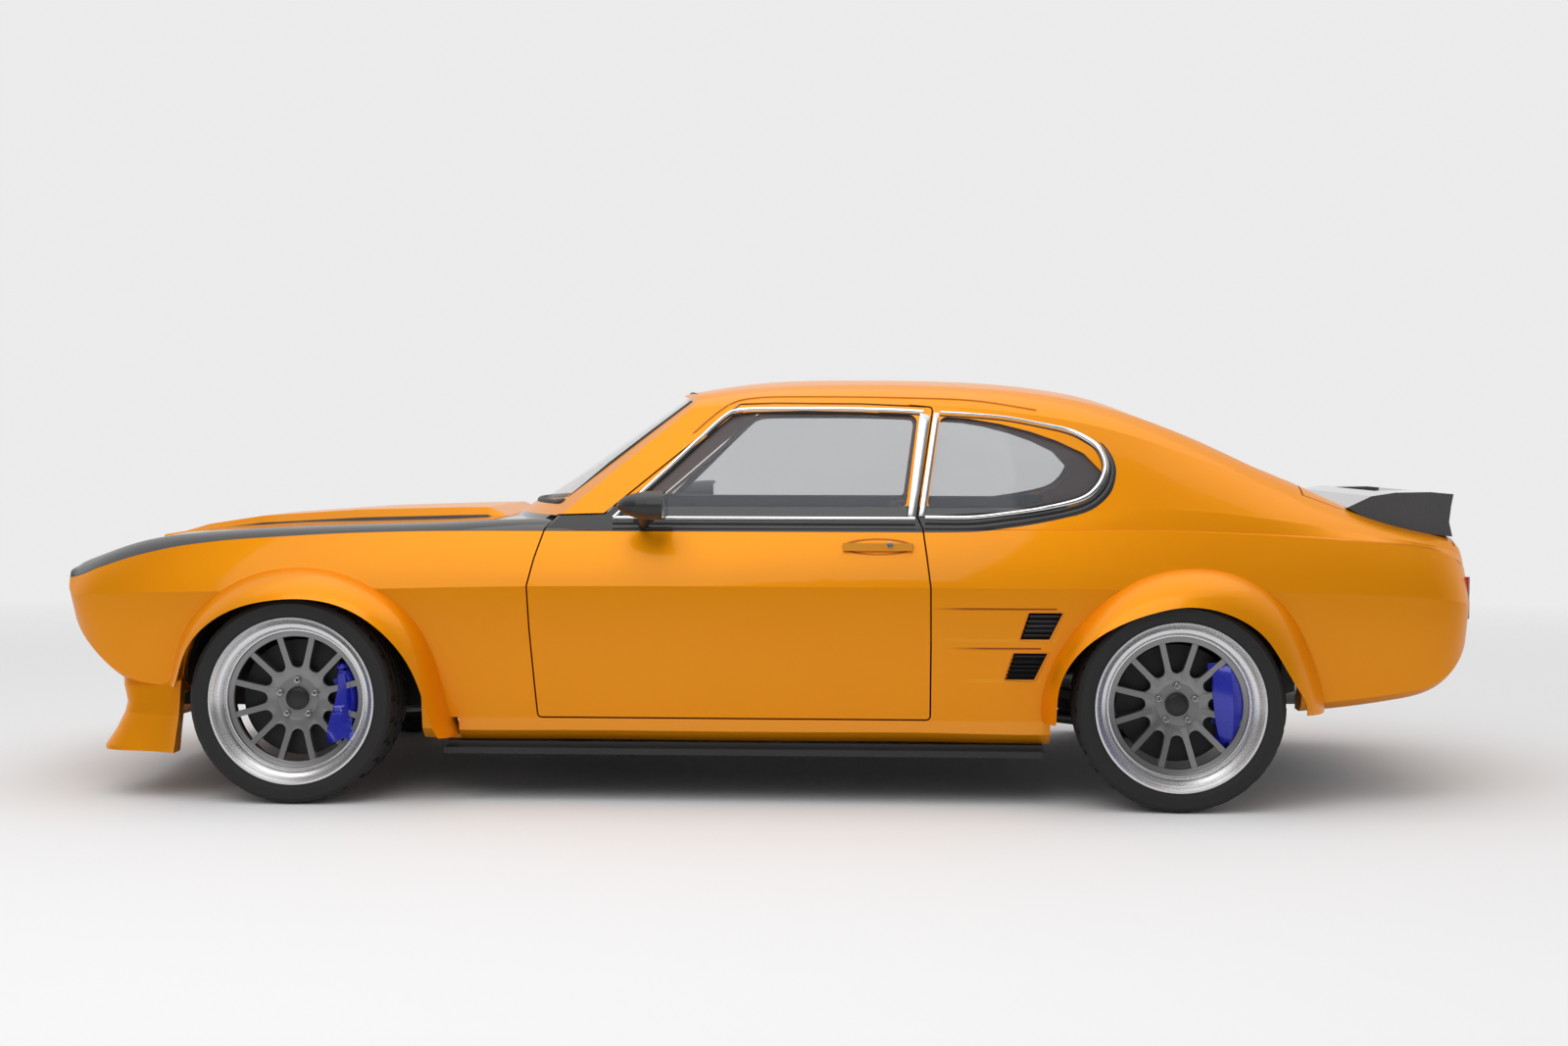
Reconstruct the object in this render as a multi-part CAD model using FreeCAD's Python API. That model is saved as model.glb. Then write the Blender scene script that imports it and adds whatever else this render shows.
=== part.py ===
import FreeCAD, Part
import math
import os

V = FreeCAD.Vector

# Driving sizes of the whole car: X runs from nose to tail, Y to the car's right, Z up
BODY_REACH = 2102.0
BODY_HALF_WIDTH = 823.0
ROOF_TOP = 1253.0
WHEELBASE = 2560.0
FRONT_AXLE_X = -1347.0
REAR_AXLE_X = FRONT_AXLE_X + WHEELBASE
OVERRUN = 400.0
SHUT_GAP = 5.0
SEAT_GAP = 0.3

# Body guide lines: place as a share of the body reach, value as a share of half width or height
CREASE_WIDTH_SHARES = (
    (-1.0000, 0.711), (-0.9919, 0.790), (-0.9753, 0.848), (-0.9396, 0.902), (-0.8563, 0.942),
    (-0.7422, 0.968), (-0.6408, 0.982), (-0.4282, 0.993), (-0.1903, 0.999), (0.0951, 1.000),
    (0.3806, 1.000), (0.5771, 0.991), (0.7612, 0.965), (0.8801, 0.928), (0.9420, 0.887),
    (0.9729, 0.834), (0.9919, 0.753),
)
CREASE_HEIGHT_SHARES = (
    (-1.0000, 0.511), (-0.9919, 0.484), (-0.9753, 0.474), (-0.9396, 0.477), (-0.8592, 0.484),
    (-0.6408, 0.493), (-0.4367, 0.502), (-0.3135, 0.506), (-0.0961, 0.508), (0.1732, 0.507),
    (0.4667, 0.505), (0.6185, 0.503), (0.8088, 0.495), (0.9515, 0.479), (0.9919, 0.463),
)
SHOULDER_WIDTH_SHARES = (
    (-1.0000, 0.699), (-0.9919, 0.763), (-0.9791, 0.796), (-0.9391, 0.843), (-0.8658, 0.869),
    (-0.7940, 0.880), (-0.6518, 0.897), (-0.5119, 0.911), (-0.3735, 0.920), (-0.2907, 0.923),
    (-0.1261, 0.928), (0.0376, 0.932), (0.2198, 0.933), (0.3844, 0.930), (0.5747, 0.911),
    (0.7650, 0.868), (0.8839, 0.829), (0.9420, 0.796), (0.9729, 0.748), (0.9919, 0.680),
)
SHOULDER_HEIGHT_SHARES = (
    (-1.0000, 0.517), (-0.9791, 0.520), (-0.9391, 0.542), (-0.8658, 0.576), (-0.7940, 0.599),
    (-0.6518, 0.619), (-0.5119, 0.629), (-0.3735, 0.633), (-0.2907, 0.634), (-0.1261, 0.636),
    (0.2198, 0.638), (0.3844, 0.638), (0.5747, 0.636), (0.7650, 0.621), (0.8839, 0.603),
    (0.9515, 0.587), (0.9729, 0.571), (0.9919, 0.546),
)
CROWN_WIDTH_SHARES = (
    (-1.0000, 0.656), (-0.9791, 0.711), (-0.9567, 0.731), (-0.8815, 0.758), (-0.8069, 0.779),
    (-0.6622, 0.798), (-0.5214, 0.808), (-0.3806, 0.814), (-0.2569, 0.819), (-0.1522, 0.802),
    (0.3844, 0.802), (0.5747, 0.778), (0.7650, 0.739), (0.8839, 0.700), (0.9420, 0.662),
    (0.9729, 0.608), (0.9919, 0.535),
)
CROWN_HEIGHT_SHARES = (
    (-1.0000, 0.535), (-0.9791, 0.549), (-0.9567, 0.563), (-0.8815, 0.603), (-0.8069, 0.621),
    (-0.6622, 0.637), (-0.5214, 0.646), (-0.3806, 0.654), (-0.2569, 0.660), (-0.1522, 0.650),
    (0.3844, 0.650), (0.5747, 0.647), (0.7650, 0.632), (0.8839, 0.613), (0.9515, 0.595),
    (0.9729, 0.579), (0.9919, 0.555),
)
HOOD_HEIGHT_SHARES = (
    (-1.0000, 0.536), (-0.9791, 0.554), (-0.9567, 0.570), (-0.8815, 0.609), (-0.8069, 0.626),
    (-0.6622, 0.642), (-0.5214, 0.650), (-0.3806, 0.658), (-0.2569, 0.664), (-0.1522, 0.654),
    (0.3844, 0.654), (0.5747, 0.651), (0.7650, 0.636), (0.8839, 0.617), (0.9515, 0.599),
    (0.9729, 0.583), (0.9919, 0.558),
)
BELLY_HEIGHT_SHARES = (
    (-1.0000, 0.508), (-0.9943, 0.472), (-0.9876, 0.426), (-0.9719, 0.379), (-0.9477, 0.332),
    (-0.9191, 0.289), (-0.9015, 0.263), (-0.8468, 0.251), (-0.7850, 0.239), (-0.5233, 0.152),
    (-0.4662, 0.142), (0.4186, 0.142), (0.4757, 0.152), (0.7041, 0.212), (0.7526, 0.217),
    (0.7797, 0.223), (0.8516, 0.237), (0.9239, 0.261), (0.9577, 0.288), (0.9753, 0.322),
    (0.9919, 0.377),
)
BELT_WIDTH_SHARES = (
    (-0.3806, 0.877), (-0.2907, 0.885), (-0.1261, 0.896), (0.0376, 0.899), (0.2198, 0.900),
    (0.3844, 0.897), (0.4757, 0.891), (0.5747, 0.870), (0.7379, 0.831), (0.8406, 0.792),
    (0.9053, 0.769), (0.9729, 0.719), (0.9919, 0.656),
)
BELT_HEIGHT_SHARES = (
    (-0.3806, 0.666), (-0.1261, 0.669), (0.2198, 0.670), (0.3844, 0.672), (0.4757, 0.678),
    (0.5747, 0.684), (0.7379, 0.657), (0.8406, 0.630), (0.9053, 0.612), (0.9729, 0.587),
    (0.9919, 0.563),
)
RAIL_WIDTH_SHARES = (
    (-0.3806, 0.680), (-0.1903, 0.695), (-0.0233, 0.711), (0.1717, 0.719), (0.3102, 0.717),
    (0.4334, 0.712), (0.5771, 0.702), (0.7379, 0.714), (0.8406, 0.729), (0.9053, 0.729),
    (0.9729, 0.687), (0.9919, 0.626),
)
RAIL_HEIGHT_SHARES = (
    (-0.3806, 0.862), (-0.1903, 0.906), (-0.0856, 0.924), (-0.0233, 0.931), (0.0604, 0.935),
    (0.1717, 0.933), (0.2407, 0.928), (0.3102, 0.920), (0.3787, 0.908), (0.4334, 0.894),
    (0.5114, 0.864), (0.5771, 0.827), (0.6565, 0.777), (0.7379, 0.722), (0.8035, 0.681),
    (0.8406, 0.659), (0.9053, 0.630), (0.9729, 0.605), (0.9919, 0.581),
)
RIDGE_HEIGHT_SHARES = (
    (-0.3806, 0.886), (-0.1903, 0.930), (-0.0856, 0.958), (-0.0233, 0.970), (0.0604, 0.978),
    (0.1717, 0.980), (0.3183, 0.970), (0.4063, 0.955), (0.4653, 0.937), (0.5114, 0.916),
    (0.5771, 0.878), (0.6565, 0.822), (0.7379, 0.761), (0.8035, 0.711), (0.8406, 0.683),
    (0.9053, 0.643), (0.9729, 0.618), (0.9919, 0.594),
)
ROOF_HEIGHT_SHARES = (
    (-0.3806, 0.898), (-0.1903, 0.946), (-0.1270, 0.962), (-0.0856, 0.975), (-0.0285, 0.990),
    (0.0519, 0.998), (0.1708, 1.000), (0.3183, 0.992), (0.4063, 0.977), (0.4653, 0.959),
    (0.5114, 0.935), (0.5771, 0.883), (0.6565, 0.816), (0.7379, 0.751), (0.8035, 0.702),
    (0.8406, 0.677), (0.9053, 0.645), (0.9729, 0.624), (0.9919, 0.600),
)

# Stations along the body, as shares of the body reach
LOWER_STATION_SHARES = (
    -1.0, -0.9876, -0.9719, -0.9477, -0.9191, -0.88, -0.80, -0.70, -0.58, -0.44, -0.30, -0.12,
    0.08, 0.28, 0.44, 0.58, 0.70, 0.80, 0.88, 0.94, 0.973, 0.9919,
)
UPPER_STATION_SHARES = (
    -0.3806, -0.25, -0.12, 0.0, 0.12, 0.24, 0.34, 0.42, 0.50, 0.58, 0.66, 0.74, 0.82, 0.90, 0.95,
    0.9919,
)
LOWER_BOW_SHARES = (0.05, 0.022, 0.03, 0.05)
UPPER_BOW_SHARES = (0.02, 0.028, 0.06)
ROCKER_WIDTH_SHARE = 0.95
ROCKER_RISE_SHARE = 0.07
BELLY_WIDTH_SHARE = 0.95
RIDGE_WIDTH_SHARE = 0.80
SEAM_SINK = 3.0
SEAM_DROP = 8.0

# Walls
SIDE_WALL = 68.0
WING_WALL = 26.0
FRAME_WALL = 28.0
GLASS_INSET = 9.0
GLASS_THICKNESS = 5.0
FLOOR_WALL = 24.0

# Outlines seen from the side, as shares of the body reach and of the roof height
DOOR_SHARES = (
    (-0.3040, 0.2003), (-0.3140, 0.4094), (-0.3173, 0.5060), (-0.3088, 0.5682), (-0.2959, 0.6385),
    (-0.2816, 0.6672), (-0.2150, 0.6704), (-0.0295, 0.9290),
    (0.0190, 0.9314), (0.1427, 0.9298), (0.2426, 0.9226), (0.2198, 0.6688), (0.2279, 0.6401),
    (0.2336, 0.5738), (0.2388, 0.5068), (0.2393, 0.3711), (0.2388, 0.2003),
)
DOOR_WINDOW_SHARES = (
    (-0.1893, 0.6959), (-0.0400, 0.9042), (-0.0190, 0.9122), (0.0618, 0.9154), (0.1427, 0.9130),
    (0.2226, 0.9050), (0.2055, 0.6864), (-0.1865, 0.6864),
)
QUARTER_WINDOW_SHARES = (
    (0.2540, 0.9026), (0.2950, 0.8970), (0.3373, 0.8851), (0.3806, 0.8667), (0.4186, 0.8444),
    (0.4543, 0.8156), (0.4786, 0.7725), (0.4814, 0.7454),
    (0.4686, 0.7199), (0.4282, 0.6943), (0.3620, 0.6848), (0.2345, 0.6832),
)
DOOR_CORNER = 10.0
WINDOW_CORNER = 24.0

# Windscreen: a curved sheet raked back from the scuttle
SCREEN_BASE_X = -757.0
SCREEN_BASE_Z = 864.0
SCREEN_TOP_X = -277.0
SCREEN_TOP_Z = 1200.0
SCREEN_SAG = 104.0
SCREEN_SAG_WIDTH = 520.0

# Bonnet, raised at its centre
BONNET_FRONT_X = -2036.0
BONNET_REAR_X = -796.0
BULGE_HALF_WIDTH_FRONT = 150.0
BULGE_HALF_WIDTH_REAR = 330.0
BULGE_SLOPE = 34.0
BULGE_FRONT_X = -1960.0
BULGE_REAR_X = -806.0
BULGE_REAR_TOP_X = -872.0
BULGE_HEIGHT_SHARES = (
    (-0.9324, 0.6002), (-0.8977, 0.6097), (-0.8573, 0.6289), (-0.7693, 0.6512), (-0.6161, 0.6688),
    (-0.4577, 0.6768), (-0.4129, 0.6776),
)
BULGE_SINK = 12.0
SCUTTLE_REAR_X = -560.0
BONNET_EDGE_INSET = 13.0

# Nose, grille and lamps
NOSE_HALF_WIDTH = 600.0
NOSE_REAR_X = -1870.0
GRILLE_HALF_WIDTH = 586.0
GRILLE_LOW_Z = 478.0
GRILLE_HIGH_Z = 632.0
GRILLE_DEPTH = 14.0
GRILLE_BAR = 6.0
GRILLE_BAR_COUNT = 7
INTAKE_HALF_WIDTH = 430.0
INTAKE_LOW_Z = 372.0
INTAKE_HIGH_Z = 444.0
LAMP_RADIUS = 72.0
LAMP_OUTER_Y = 508.0
LAMP_INNER_Y = 348.0
LAMP_DEPTH = 60.0
LAMP_DOME = 14.0

# Chin below the nose, flared forwards and outwards
CHIN_LEVEL_SHARES = (
    (0.3033, -0.9220, 0.8603), (0.2594, -0.9182, 0.8870), (0.2195, -0.9115, 0.8991),
    (0.1947, -0.9139, 0.9089), (0.1572, -0.9220, 0.9380), (0.1213, -0.9339, 0.9648),
    (0.1125, -0.9329, 0.9721),
)
CHIN_BOW_SHARES = (0.0, 0.3, 0.55, 0.75, 1.0, 1.0, 1.0)
CHIN_SWELL = 46.0
CHIN_REAR_X = -1706.0
CHIN_BOW = 42.0
CHIN_WALL = 22.0

# Wheels and tyres
TYRE_RADIUS = 301.0
TYRE_WIDTH = 226.0
TYRE_SHOULDER = 24.0
RIM_RADIUS = 243.0
RIM_SEAT_RADIUS = 229.0
RIM_WALL = 6.0
RIM_LIP = 10.0
RIM_STEP_RADIUS = 213.0
RIM_RING_RADIUS = 198.0
RIM_RING_DEPTH = 58.0
SPOKE_COUNT = 12
SPOKE_ROOT_RADIUS = 66.0
SPOKE_WIDTH = 17.0
SPOKE_DEPTH = 18.0
HUB_PAD_RADIUS = 76.0
HUB_PAD_DEPTH = 30.0
HUB_CAP_RADIUS = 32.0
HUB_CAP_RISE = 12.0
LUG_COUNT = 5
LUG_CIRCLE_RADIUS = 54.0
LUG_RADIUS = 9.0
LUG_RISE = 9.0
FRONT_LIP_Y = 886.0
REAR_LIP_Y = 896.0
FRONT_SET_BACK = 81.0
REAR_SET_BACK = 101.0
DISC_RADIUS = 170.0
DISC_THICKNESS = 28.0
DISC_HAT_RADIUS = 84.0
DISC_OFFSET = 6.0
CALIPER_REACH = 192.0
CALIPER_INNER = 112.0
CALIPER_HALF_ANGLE = 28.0
CALIPER_CHEEK = 14.0
CALIPER_GAP = 5.0

# Wheel wells and flared arches: radii about the hub as shares of the tyre radius
WELL_RADIUS = 362.0
WELL_INNER_Y = 508.0
WELL_LINER = 6.0
FLARE_Y = 916.0
FLARE_SKIN_Y = 905.0
FLARE_SKIN = 11.0
FLARE_ROOT_SINK = 24.0
FRONT_FLARE_SHARES = (
    (7.0, 1.290, 1.115), (16.0, 1.286, 1.100), (28.0, 1.315, 1.105), (47.0, 1.302, 1.070),
    (68.0, 1.288, 1.012), (90.0, 1.278, 0.992), (108.0, 1.290, 1.024), (125.0, 1.315, 1.072),
    (141.0, 1.370, 1.125), (158.0, 1.398, 1.200), (176.0, 1.425, 1.290), (193.0, 1.585, 1.490),
)
REAR_FLARE_SHARES = (
    (-8.0, 1.290, 1.190), (10.0, 1.270, 1.162), (27.0, 1.228, 1.100), (50.0, 1.212, 0.990),
    (74.0, 1.262, 0.940), (94.0, 1.312, 0.960), (118.0, 1.375, 0.993), (138.0, 1.385, 1.023),
    (157.0, 1.370, 1.035), (171.0, 1.392, 1.105), (182.6, 1.420, 1.168),
)
FLARE_SWELL_SHARE = 0.42
FLARE_FALL_SHARE = 0.24
FLARE_INNER_SHARE = 0.62

# Doors, bonnet and boot lid hinges
BOOT_FRONT_X = 1612.0
BOOT_REAR_X = 2052.0
BOOT_HALF_WIDTH = 560.0
TAIL_FRONT_X = 1984.0
TAIL_HALF_WIDTH = 606.0

# Tail spoiler
SPOILER_SHARES = (
    (0.8287, 0.6879), (0.8620, 0.7151), (0.8953, 0.7239), (0.9443, 0.7255), (0.9767, 0.7207),
    (0.9734, 0.6911), (0.9710, 0.6544), (0.9757, 0.6201),
    (0.9277, 0.6289), (0.8806, 0.6401),
)
SPOILER_HALF_WIDTH = 556.0
LAMP_STRIP_Y = 462.0
LAMP_STRIP_REACH = 130.0
LAMP_STRIP_LOW_Z = 536.0
LAMP_STRIP_HEIGHT = 52.0
LAMP_STRIP_STEP = 72.0
LAMP_STRIP_DEPTH = 24.0

# Side vents
VENT_SHARES = (
    (0.4191, 0.4501), (0.4010, 0.3887), (0.3620, 0.3887), (0.3739, 0.4501),
)
VENT_DROP = 117.0
VENT_SHIFT = 43.0
VENT_SLATS = 6
VENT_DEPTH = 26.0

# Sills and splitters
SILL_TOP_Z = 246.0
SILL_FRONT_X = -916.0
SILL_REAR_X = 830.0
SPLITTER_LOW_Z = 143.0
SPLITTER_THICKNESS = 12.0
SPLITTER_HALF_WIDTH = 806.0
SPLITTER_INNER_Y = 690.0

# Floor, bulkheads and inner arches
FLOOR_PLATE = 22.0
BULKHEAD_X = -700.0
BULKHEAD_THICKNESS = 30.0
TUNNEL_HALF_WIDTH = 130.0
TUNNEL_HEIGHT = 190.0
HEELBOARD_X = 790.0
REAR_DECK_Z = 440.0
RAIL_WIDTH = 72.0
RAIL_LOW_Z = 245.0
RAIL_TOP_Z = 410.0
APRON_TOP_Z = 742.0
APRON_WALL = 8.0

# Seats, dashboard and steering wheel
SEAT_Y = 350.0
SEAT_WIDTH = 430.0
SEAT_FRONT_X = -160.0
SEAT_LENGTH = 500.0
SEAT_CUSHION = 150.0
SEAT_BASE_Z = 230.0
SEAT_BACK_THICKNESS = 120.0
SEAT_TOP_Z = 872.0
SEAT_RAKE = 130.0
BENCH_FRONT_X = 640.0
BENCH_LENGTH = 430.0
BENCH_HALF_WIDTH = 470.0
BENCH_CUSHION = 120.0
BENCH_TOP_Z = 860.0
BENCH_RAKE = 190.0
DASH_REAR_X = -400.0
DASH_HALF_WIDTH = 640.0
DASH_LOW_Z = 620.0
DASH_TOP_Z = 812.0
STEERING_WHEEL_RADIUS = 178.0
STEERING_RIM_RADIUS = 13.0
STEERING_HUB_X = -296.0
STEERING_HUB_Z = 742.0
STEERING_TILT = 24.0
STEERING_BOSS_RADIUS = 46.0
COLUMN_RADIUS = 20.0

# Engine, gearbox, propshaft, exhaust and tank
ENGINE_FRONT_X = -1560.0
ENGINE_REAR_X = -900.0
ENGINE_HALF_WIDTH = 260.0
ENGINE_LOW_Z = 250.0
ENGINE_HIGH_Z = 690.0
GEARBOX_REAR_X = -330.0
GEARBOX_HALF_WIDTH = 100.0
GEARBOX_LOW_Z = 205.0
GEARBOX_HIGH_Z = 360.0
SHAFT_RADIUS = 36.0
AXLE_TUBE_RADIUS = 38.0
AXLE_CASE_RADIUS = 108.0
SPRING_WIDTH = 60.0
SPRING_THICKNESS = 26.0
SPRING_HALF_LENGTH = 395.0
SPRING_Y = 440.0
SPRING_ARCH = 60.0
PIPE_RADIUS = 22.0
PIPE_TUNNEL_Y = 60.0
PIPE_Y = 250.0
PIPE_Z = 178.0
PIPE_FRONT_X = -310.0
PIPE_BEND_X = 880.0
PIPE_AXLE_X = 1090.0
PIPE_RISE_X = 1270.0
PIPE_REAR_X = 1972.0
SILENCER_RADIUS = 74.0
SILENCER_LENGTH = 380.0
SILENCER_FRONT_X = 1470.0
TANK_FRONT_X = 1420.0
TANK_REAR_X = 1960.0
TANK_LOW_Z = 268.0

# Front suspension and knuckles
KINGPIN_Y = 712.0
KNUCKLE_RADIUS = 52.0
KNUCKLE_HALF_HEIGHT = 92.0
ARM_RADIUS = 20.0
STRUT_RADIUS = 28.0
STRUT_TOP_Z = 656.0
CROSSMEMBER_HALF_WIDTH = 480.0
CROSSMEMBER_LENGTH = 120.0
CROSSMEMBER_LOW_Z = 165.0

# Mirrors and handles
MIRROR_X = -325.0
MIRROR_Z = 872.0
MIRROR_Y = 890.0
MIRROR_LENGTH = 132.0
MIRROR_HEIGHT = 84.0
MIRROR_WIDTH = 150.0
MIRROR_FOOT_Z = 812.0
MIRROR_STALK_RADIUS = 15.0
HANDLE_FRONT_X = 250.0
HANDLE_REAR_X = 452.0
HANDLE_Z = 751.0
HANDLE_HEIGHT = 22.0
HANDLE_PROUD = 22.0
HANDLE_BAR = 12.0

# Seams, windscreen aperture and rear window
SPLIT_X = -606.0
SCREEN_SHARES = (
    (-0.742, 0.692), (-0.725, 0.704), (-0.592, 0.944), (-0.35, 0.953), (-0.12, 0.957),
)
SCREEN_CORNER = 26.0
REAR_WINDOW_SHARES = (
    (0.545, 0.52), (0.70, 0.60), (0.752, 0.585),
)
REAR_WINDOW_LOW_Z = 860.0
BELOW_BONNET_Z = 560.0
SCUTTLE_HALF_WIDTH = 664.0
ROOF_SHARES = (
    (-0.43, 0.668), (0.2094, 0.668), (0.2094, 0.931), (0.243, 0.926), (0.433, 0.889), (0.540, 0.852), (0.540, 1.10),
    (-0.43, 1.10),
)
BOOT_LOW_Z = 700.0
QUARTER_INNER_Y = 655.0
RIM_WIDTH = 214.0
DISC_WALL = 8.0
SPINDLE_RADIUS = 30.0
KNUCKLE_LEG_RADIUS = 18.0
BRACKET_HALF_HEIGHT = 26.0
STRUT_LOW_Y = 622.0
STRUT_TOP_Y = 588.0
ARM_SWEEP = 210.0
HANGER_LENGTH = 40.0
HOUSE_LOW_Z = 418.0
HOUSE_HALF_WIDTH = 700.0
FLARE_FOOT_X = -876.0
FLARE_FOOT_Y = 731.0
RAIL_FRONT_X = -1840.0
PANEL_HALF_WIDTH = 560.0
PANEL_TOP_Z = 720.0
BULKHEAD_TOP_Z = 770.0
FLOOR_TOP_Z = 204.0
DASH_LIP = 30.0
DASH_COWL_Z = 740.0
STEERING_RIM_SIDES = 10
SPOILER_LIFT = 8.0
SILENCER_Z = 314.0
PIPE_WALL = 3.0
TAIL_BORE_DEPTH = 88.0
TAIL_BORE_STAGGER = 4.0
JACK_PAD_X = 560.0
JACK_PAD_Y = 620.0
JACK_PAD_LENGTH = 90.0
JACK_PAD_WIDTH = 50.0
JACK_PAD_Z = 168.0
GRILLE_X = -2066.0
SPOILER_SCOOP_SHARES = (
    (0.80, 0.80), (0.895, 0.722), (0.955, 0.712), (1.02, 0.80),
)
SPOILER_SCOOP_HALF_WIDTH = 300.0
LAMP_STRIP_X = 2070.0
VENT_SINK = 6.0
VENT_SLAT = 5.0
SPLITTER_STEP = 14.0
SILL_BELLY_Z = 174.9
MIRROR_TAPER_SHARES = (
    (0.0, 0.25), (0.05, 0.43), (0.13, 0.59), (0.25, 0.74), (0.42, 0.88), (0.68, 0.975), (1.0, 1.0),
)
MIRROR_STALK_LEAN = -10.0
MIRROR_FOOT_Y = 752.0
HANDLE_Y = 782.0
HANDLE_FOOT = 30.0
CRUMB_VOLUME = 5000.0
TANK_LEFT_Y = 140.0
TANK_RIGHT_Y = 396.0
SCUTTLE_LOW_Z = 640.0
DOOR_REAR_X = 440.0
BONNET_EDGE_SHARES = (0.0, 0.06, 0.16, 0.32, 0.5, 0.7, 0.86, 1.0)
FLARE_BANDS = 5


def along(shares, place):
    """Smooth value between the rows of a share table, level at its ends."""
    if place <= shares[0][0]:
        return shares[0][1]
    if place >= shares[-1][0]:
        return shares[-1][1]
    steps = [b[0] - a[0] for a, b in zip(shares, shares[1:])]
    slopes = [(b[1] - a[1]) / s for a, b, s in zip(shares, shares[1:], steps)]
    row = max(i for i in range(len(steps)) if shares[i][0] <= place)

    def tangent(i):
        if i == 0:
            return slopes[0]
        if i == len(slopes):
            return slopes[-1]
        before, after = slopes[i - 1], slopes[i]
        if before * after <= 0:
            return 0.0
        wide, narrow = steps[i] * 2 + steps[i - 1], steps[i] + steps[i - 1] * 2
        return (wide + narrow) / (wide / before + narrow / after)

    t = (place - shares[row][0]) / steps[row]
    low, high = shares[row][1], shares[row + 1][1]
    start, finish = tangent(row) * steps[row], tangent(row + 1) * steps[row]
    blend = t * t * (3 - 2 * t)
    return low + (high - low) * blend + t * (1 - t) * ((1 - t) * start - t * finish)


def width_at(shares, x):
    return BODY_HALF_WIDTH * along(shares, x / BODY_REACH)


def height_at(shares, x):
    return ROOF_TOP * along(shares, x / BODY_REACH)


def lower_points(x):
    """Corners of the lower body on one side, from the belly up to the crown, and the middle height."""
    crease = width_at(CREASE_WIDTH_SHARES, x)
    crease_z = height_at(CREASE_HEIGHT_SHARES, x)
    belly_z = height_at(BELLY_HEIGHT_SHARES, x)
    rocker = crease * ROCKER_WIDTH_SHARE
    rocker_z = belly_z + (crease_z - belly_z) * ROCKER_RISE_SHARE
    points = [
        (rocker * BELLY_WIDTH_SHARE, belly_z),
        (rocker, rocker_z),
        (crease, crease_z),
        (width_at(SHOULDER_WIDTH_SHARES, x), height_at(SHOULDER_HEIGHT_SHARES, x)),
        (width_at(CROWN_WIDTH_SHARES, x), height_at(CROWN_HEIGHT_SHARES, x)),
    ]
    return points, height_at(HOOD_HEIGHT_SHARES, x)


def upper_points(x):
    """Corners of the cabin and tail above the shoulder on one side, and the middle height."""
    rail = width_at(RAIL_WIDTH_SHARES, x)
    points = [
        (width_at(SHOULDER_WIDTH_SHARES, x) - SEAM_SINK, height_at(SHOULDER_HEIGHT_SHARES, x) - SEAM_DROP),
        (width_at(BELT_WIDTH_SHARES, x), height_at(BELT_HEIGHT_SHARES, x)),
        (rail, height_at(RAIL_HEIGHT_SHARES, x)),
        (rail * RIDGE_WIDTH_SHARE, height_at(RIDGE_HEIGHT_SHARES, x)),
    ]
    return points, height_at(ROOF_HEIGHT_SHARES, x)


def inset_points(points, top, side, base):
    """The same corners moved inwards by a wall, mitred where two faces meet."""
    chain = [(0.0, points[0][1])] + points + [(0.0, top)]
    lines = []
    for index, (a, b) in enumerate(zip(chain, chain[1:])):
        depth = base if index == 0 else side
        length = math.hypot(b[0] - a[0], b[1] - a[1])
        nx, nz = -(b[1] - a[1]) / length, (b[0] - a[0]) / length
        lines.append(((a[0] + nx * depth, a[1] + nz * depth), (b[0] - a[0], b[1] - a[1])))
    moved = []
    for (p, d), (q, e) in zip(lines, lines[1:]):
        cross = d[0] * e[1] - d[1] * e[0]
        t = ((q[0] - p[0]) * e[1] - (q[1] - p[1]) * e[0]) / cross
        moved.append((p[0] + d[0] * t, p[1] + d[1] * t))
    return moved, top - side


def bowed(a, b, share):
    """Arc from a to b in a plane of constant X, bowed to its left by a share of its length."""
    middle = (a + b) * 0.5
    across = V(0, b.z - a.z, a.y - b.y)
    return Part.Arc(a, middle + across * share, b).toShape()


def ring(x, points, top, bows):
    """Closed section of the body at one station."""
    left = [V(x, -y, z) for y, z in points]
    right = [V(x, y, z) for y, z in points]
    edges = [Part.LineSegment(right[0], left[0]).toShape()]
    for a, b, share in zip(left, left[1:], bows):
        edges.append(bowed(a, b, -share))
    edges.append(Part.Arc(left[-1], V(x, 0, top), right[-1]).toShape())
    for b, a, share in reversed(list(zip(right, right[1:], bows))):
        edges.append(bowed(a, b, -share))
    return Part.Wire(edges)


def body_loft(points_at, bows, stations, side=0.0, base=0.0, skirt=0.0):
    """Smooth solid through the sections at the given stations, inset by a wall and let down by a skirt."""
    wires = []
    for share in stations:
        x = share * BODY_REACH
        points, top = points_at(x)
        if side:
            points, top = inset_points(points, top, side, base)
        if skirt:
            points[0] = (points[1][0], points[0][1] - skirt)
        wires.append(ring(x, points, top, bows))
    return Part.makeLoft(wires, True, False)


def flat_face(points):
    return Part.Face(Part.makePolygon(list(points) + [points[0]]))


def box(x0, x1, y0, y1, z0, z1):
    return Part.makeBox(x1 - x0, y1 - y0, z1 - z0, V(x0, y0, z0))


def mirrored(shape):
    return shape.mirror(V(0, 0, 0), V(0, 1, 0))


def both(shape):
    return Part.makeCompound([shape, mirrored(shape)])


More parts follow.
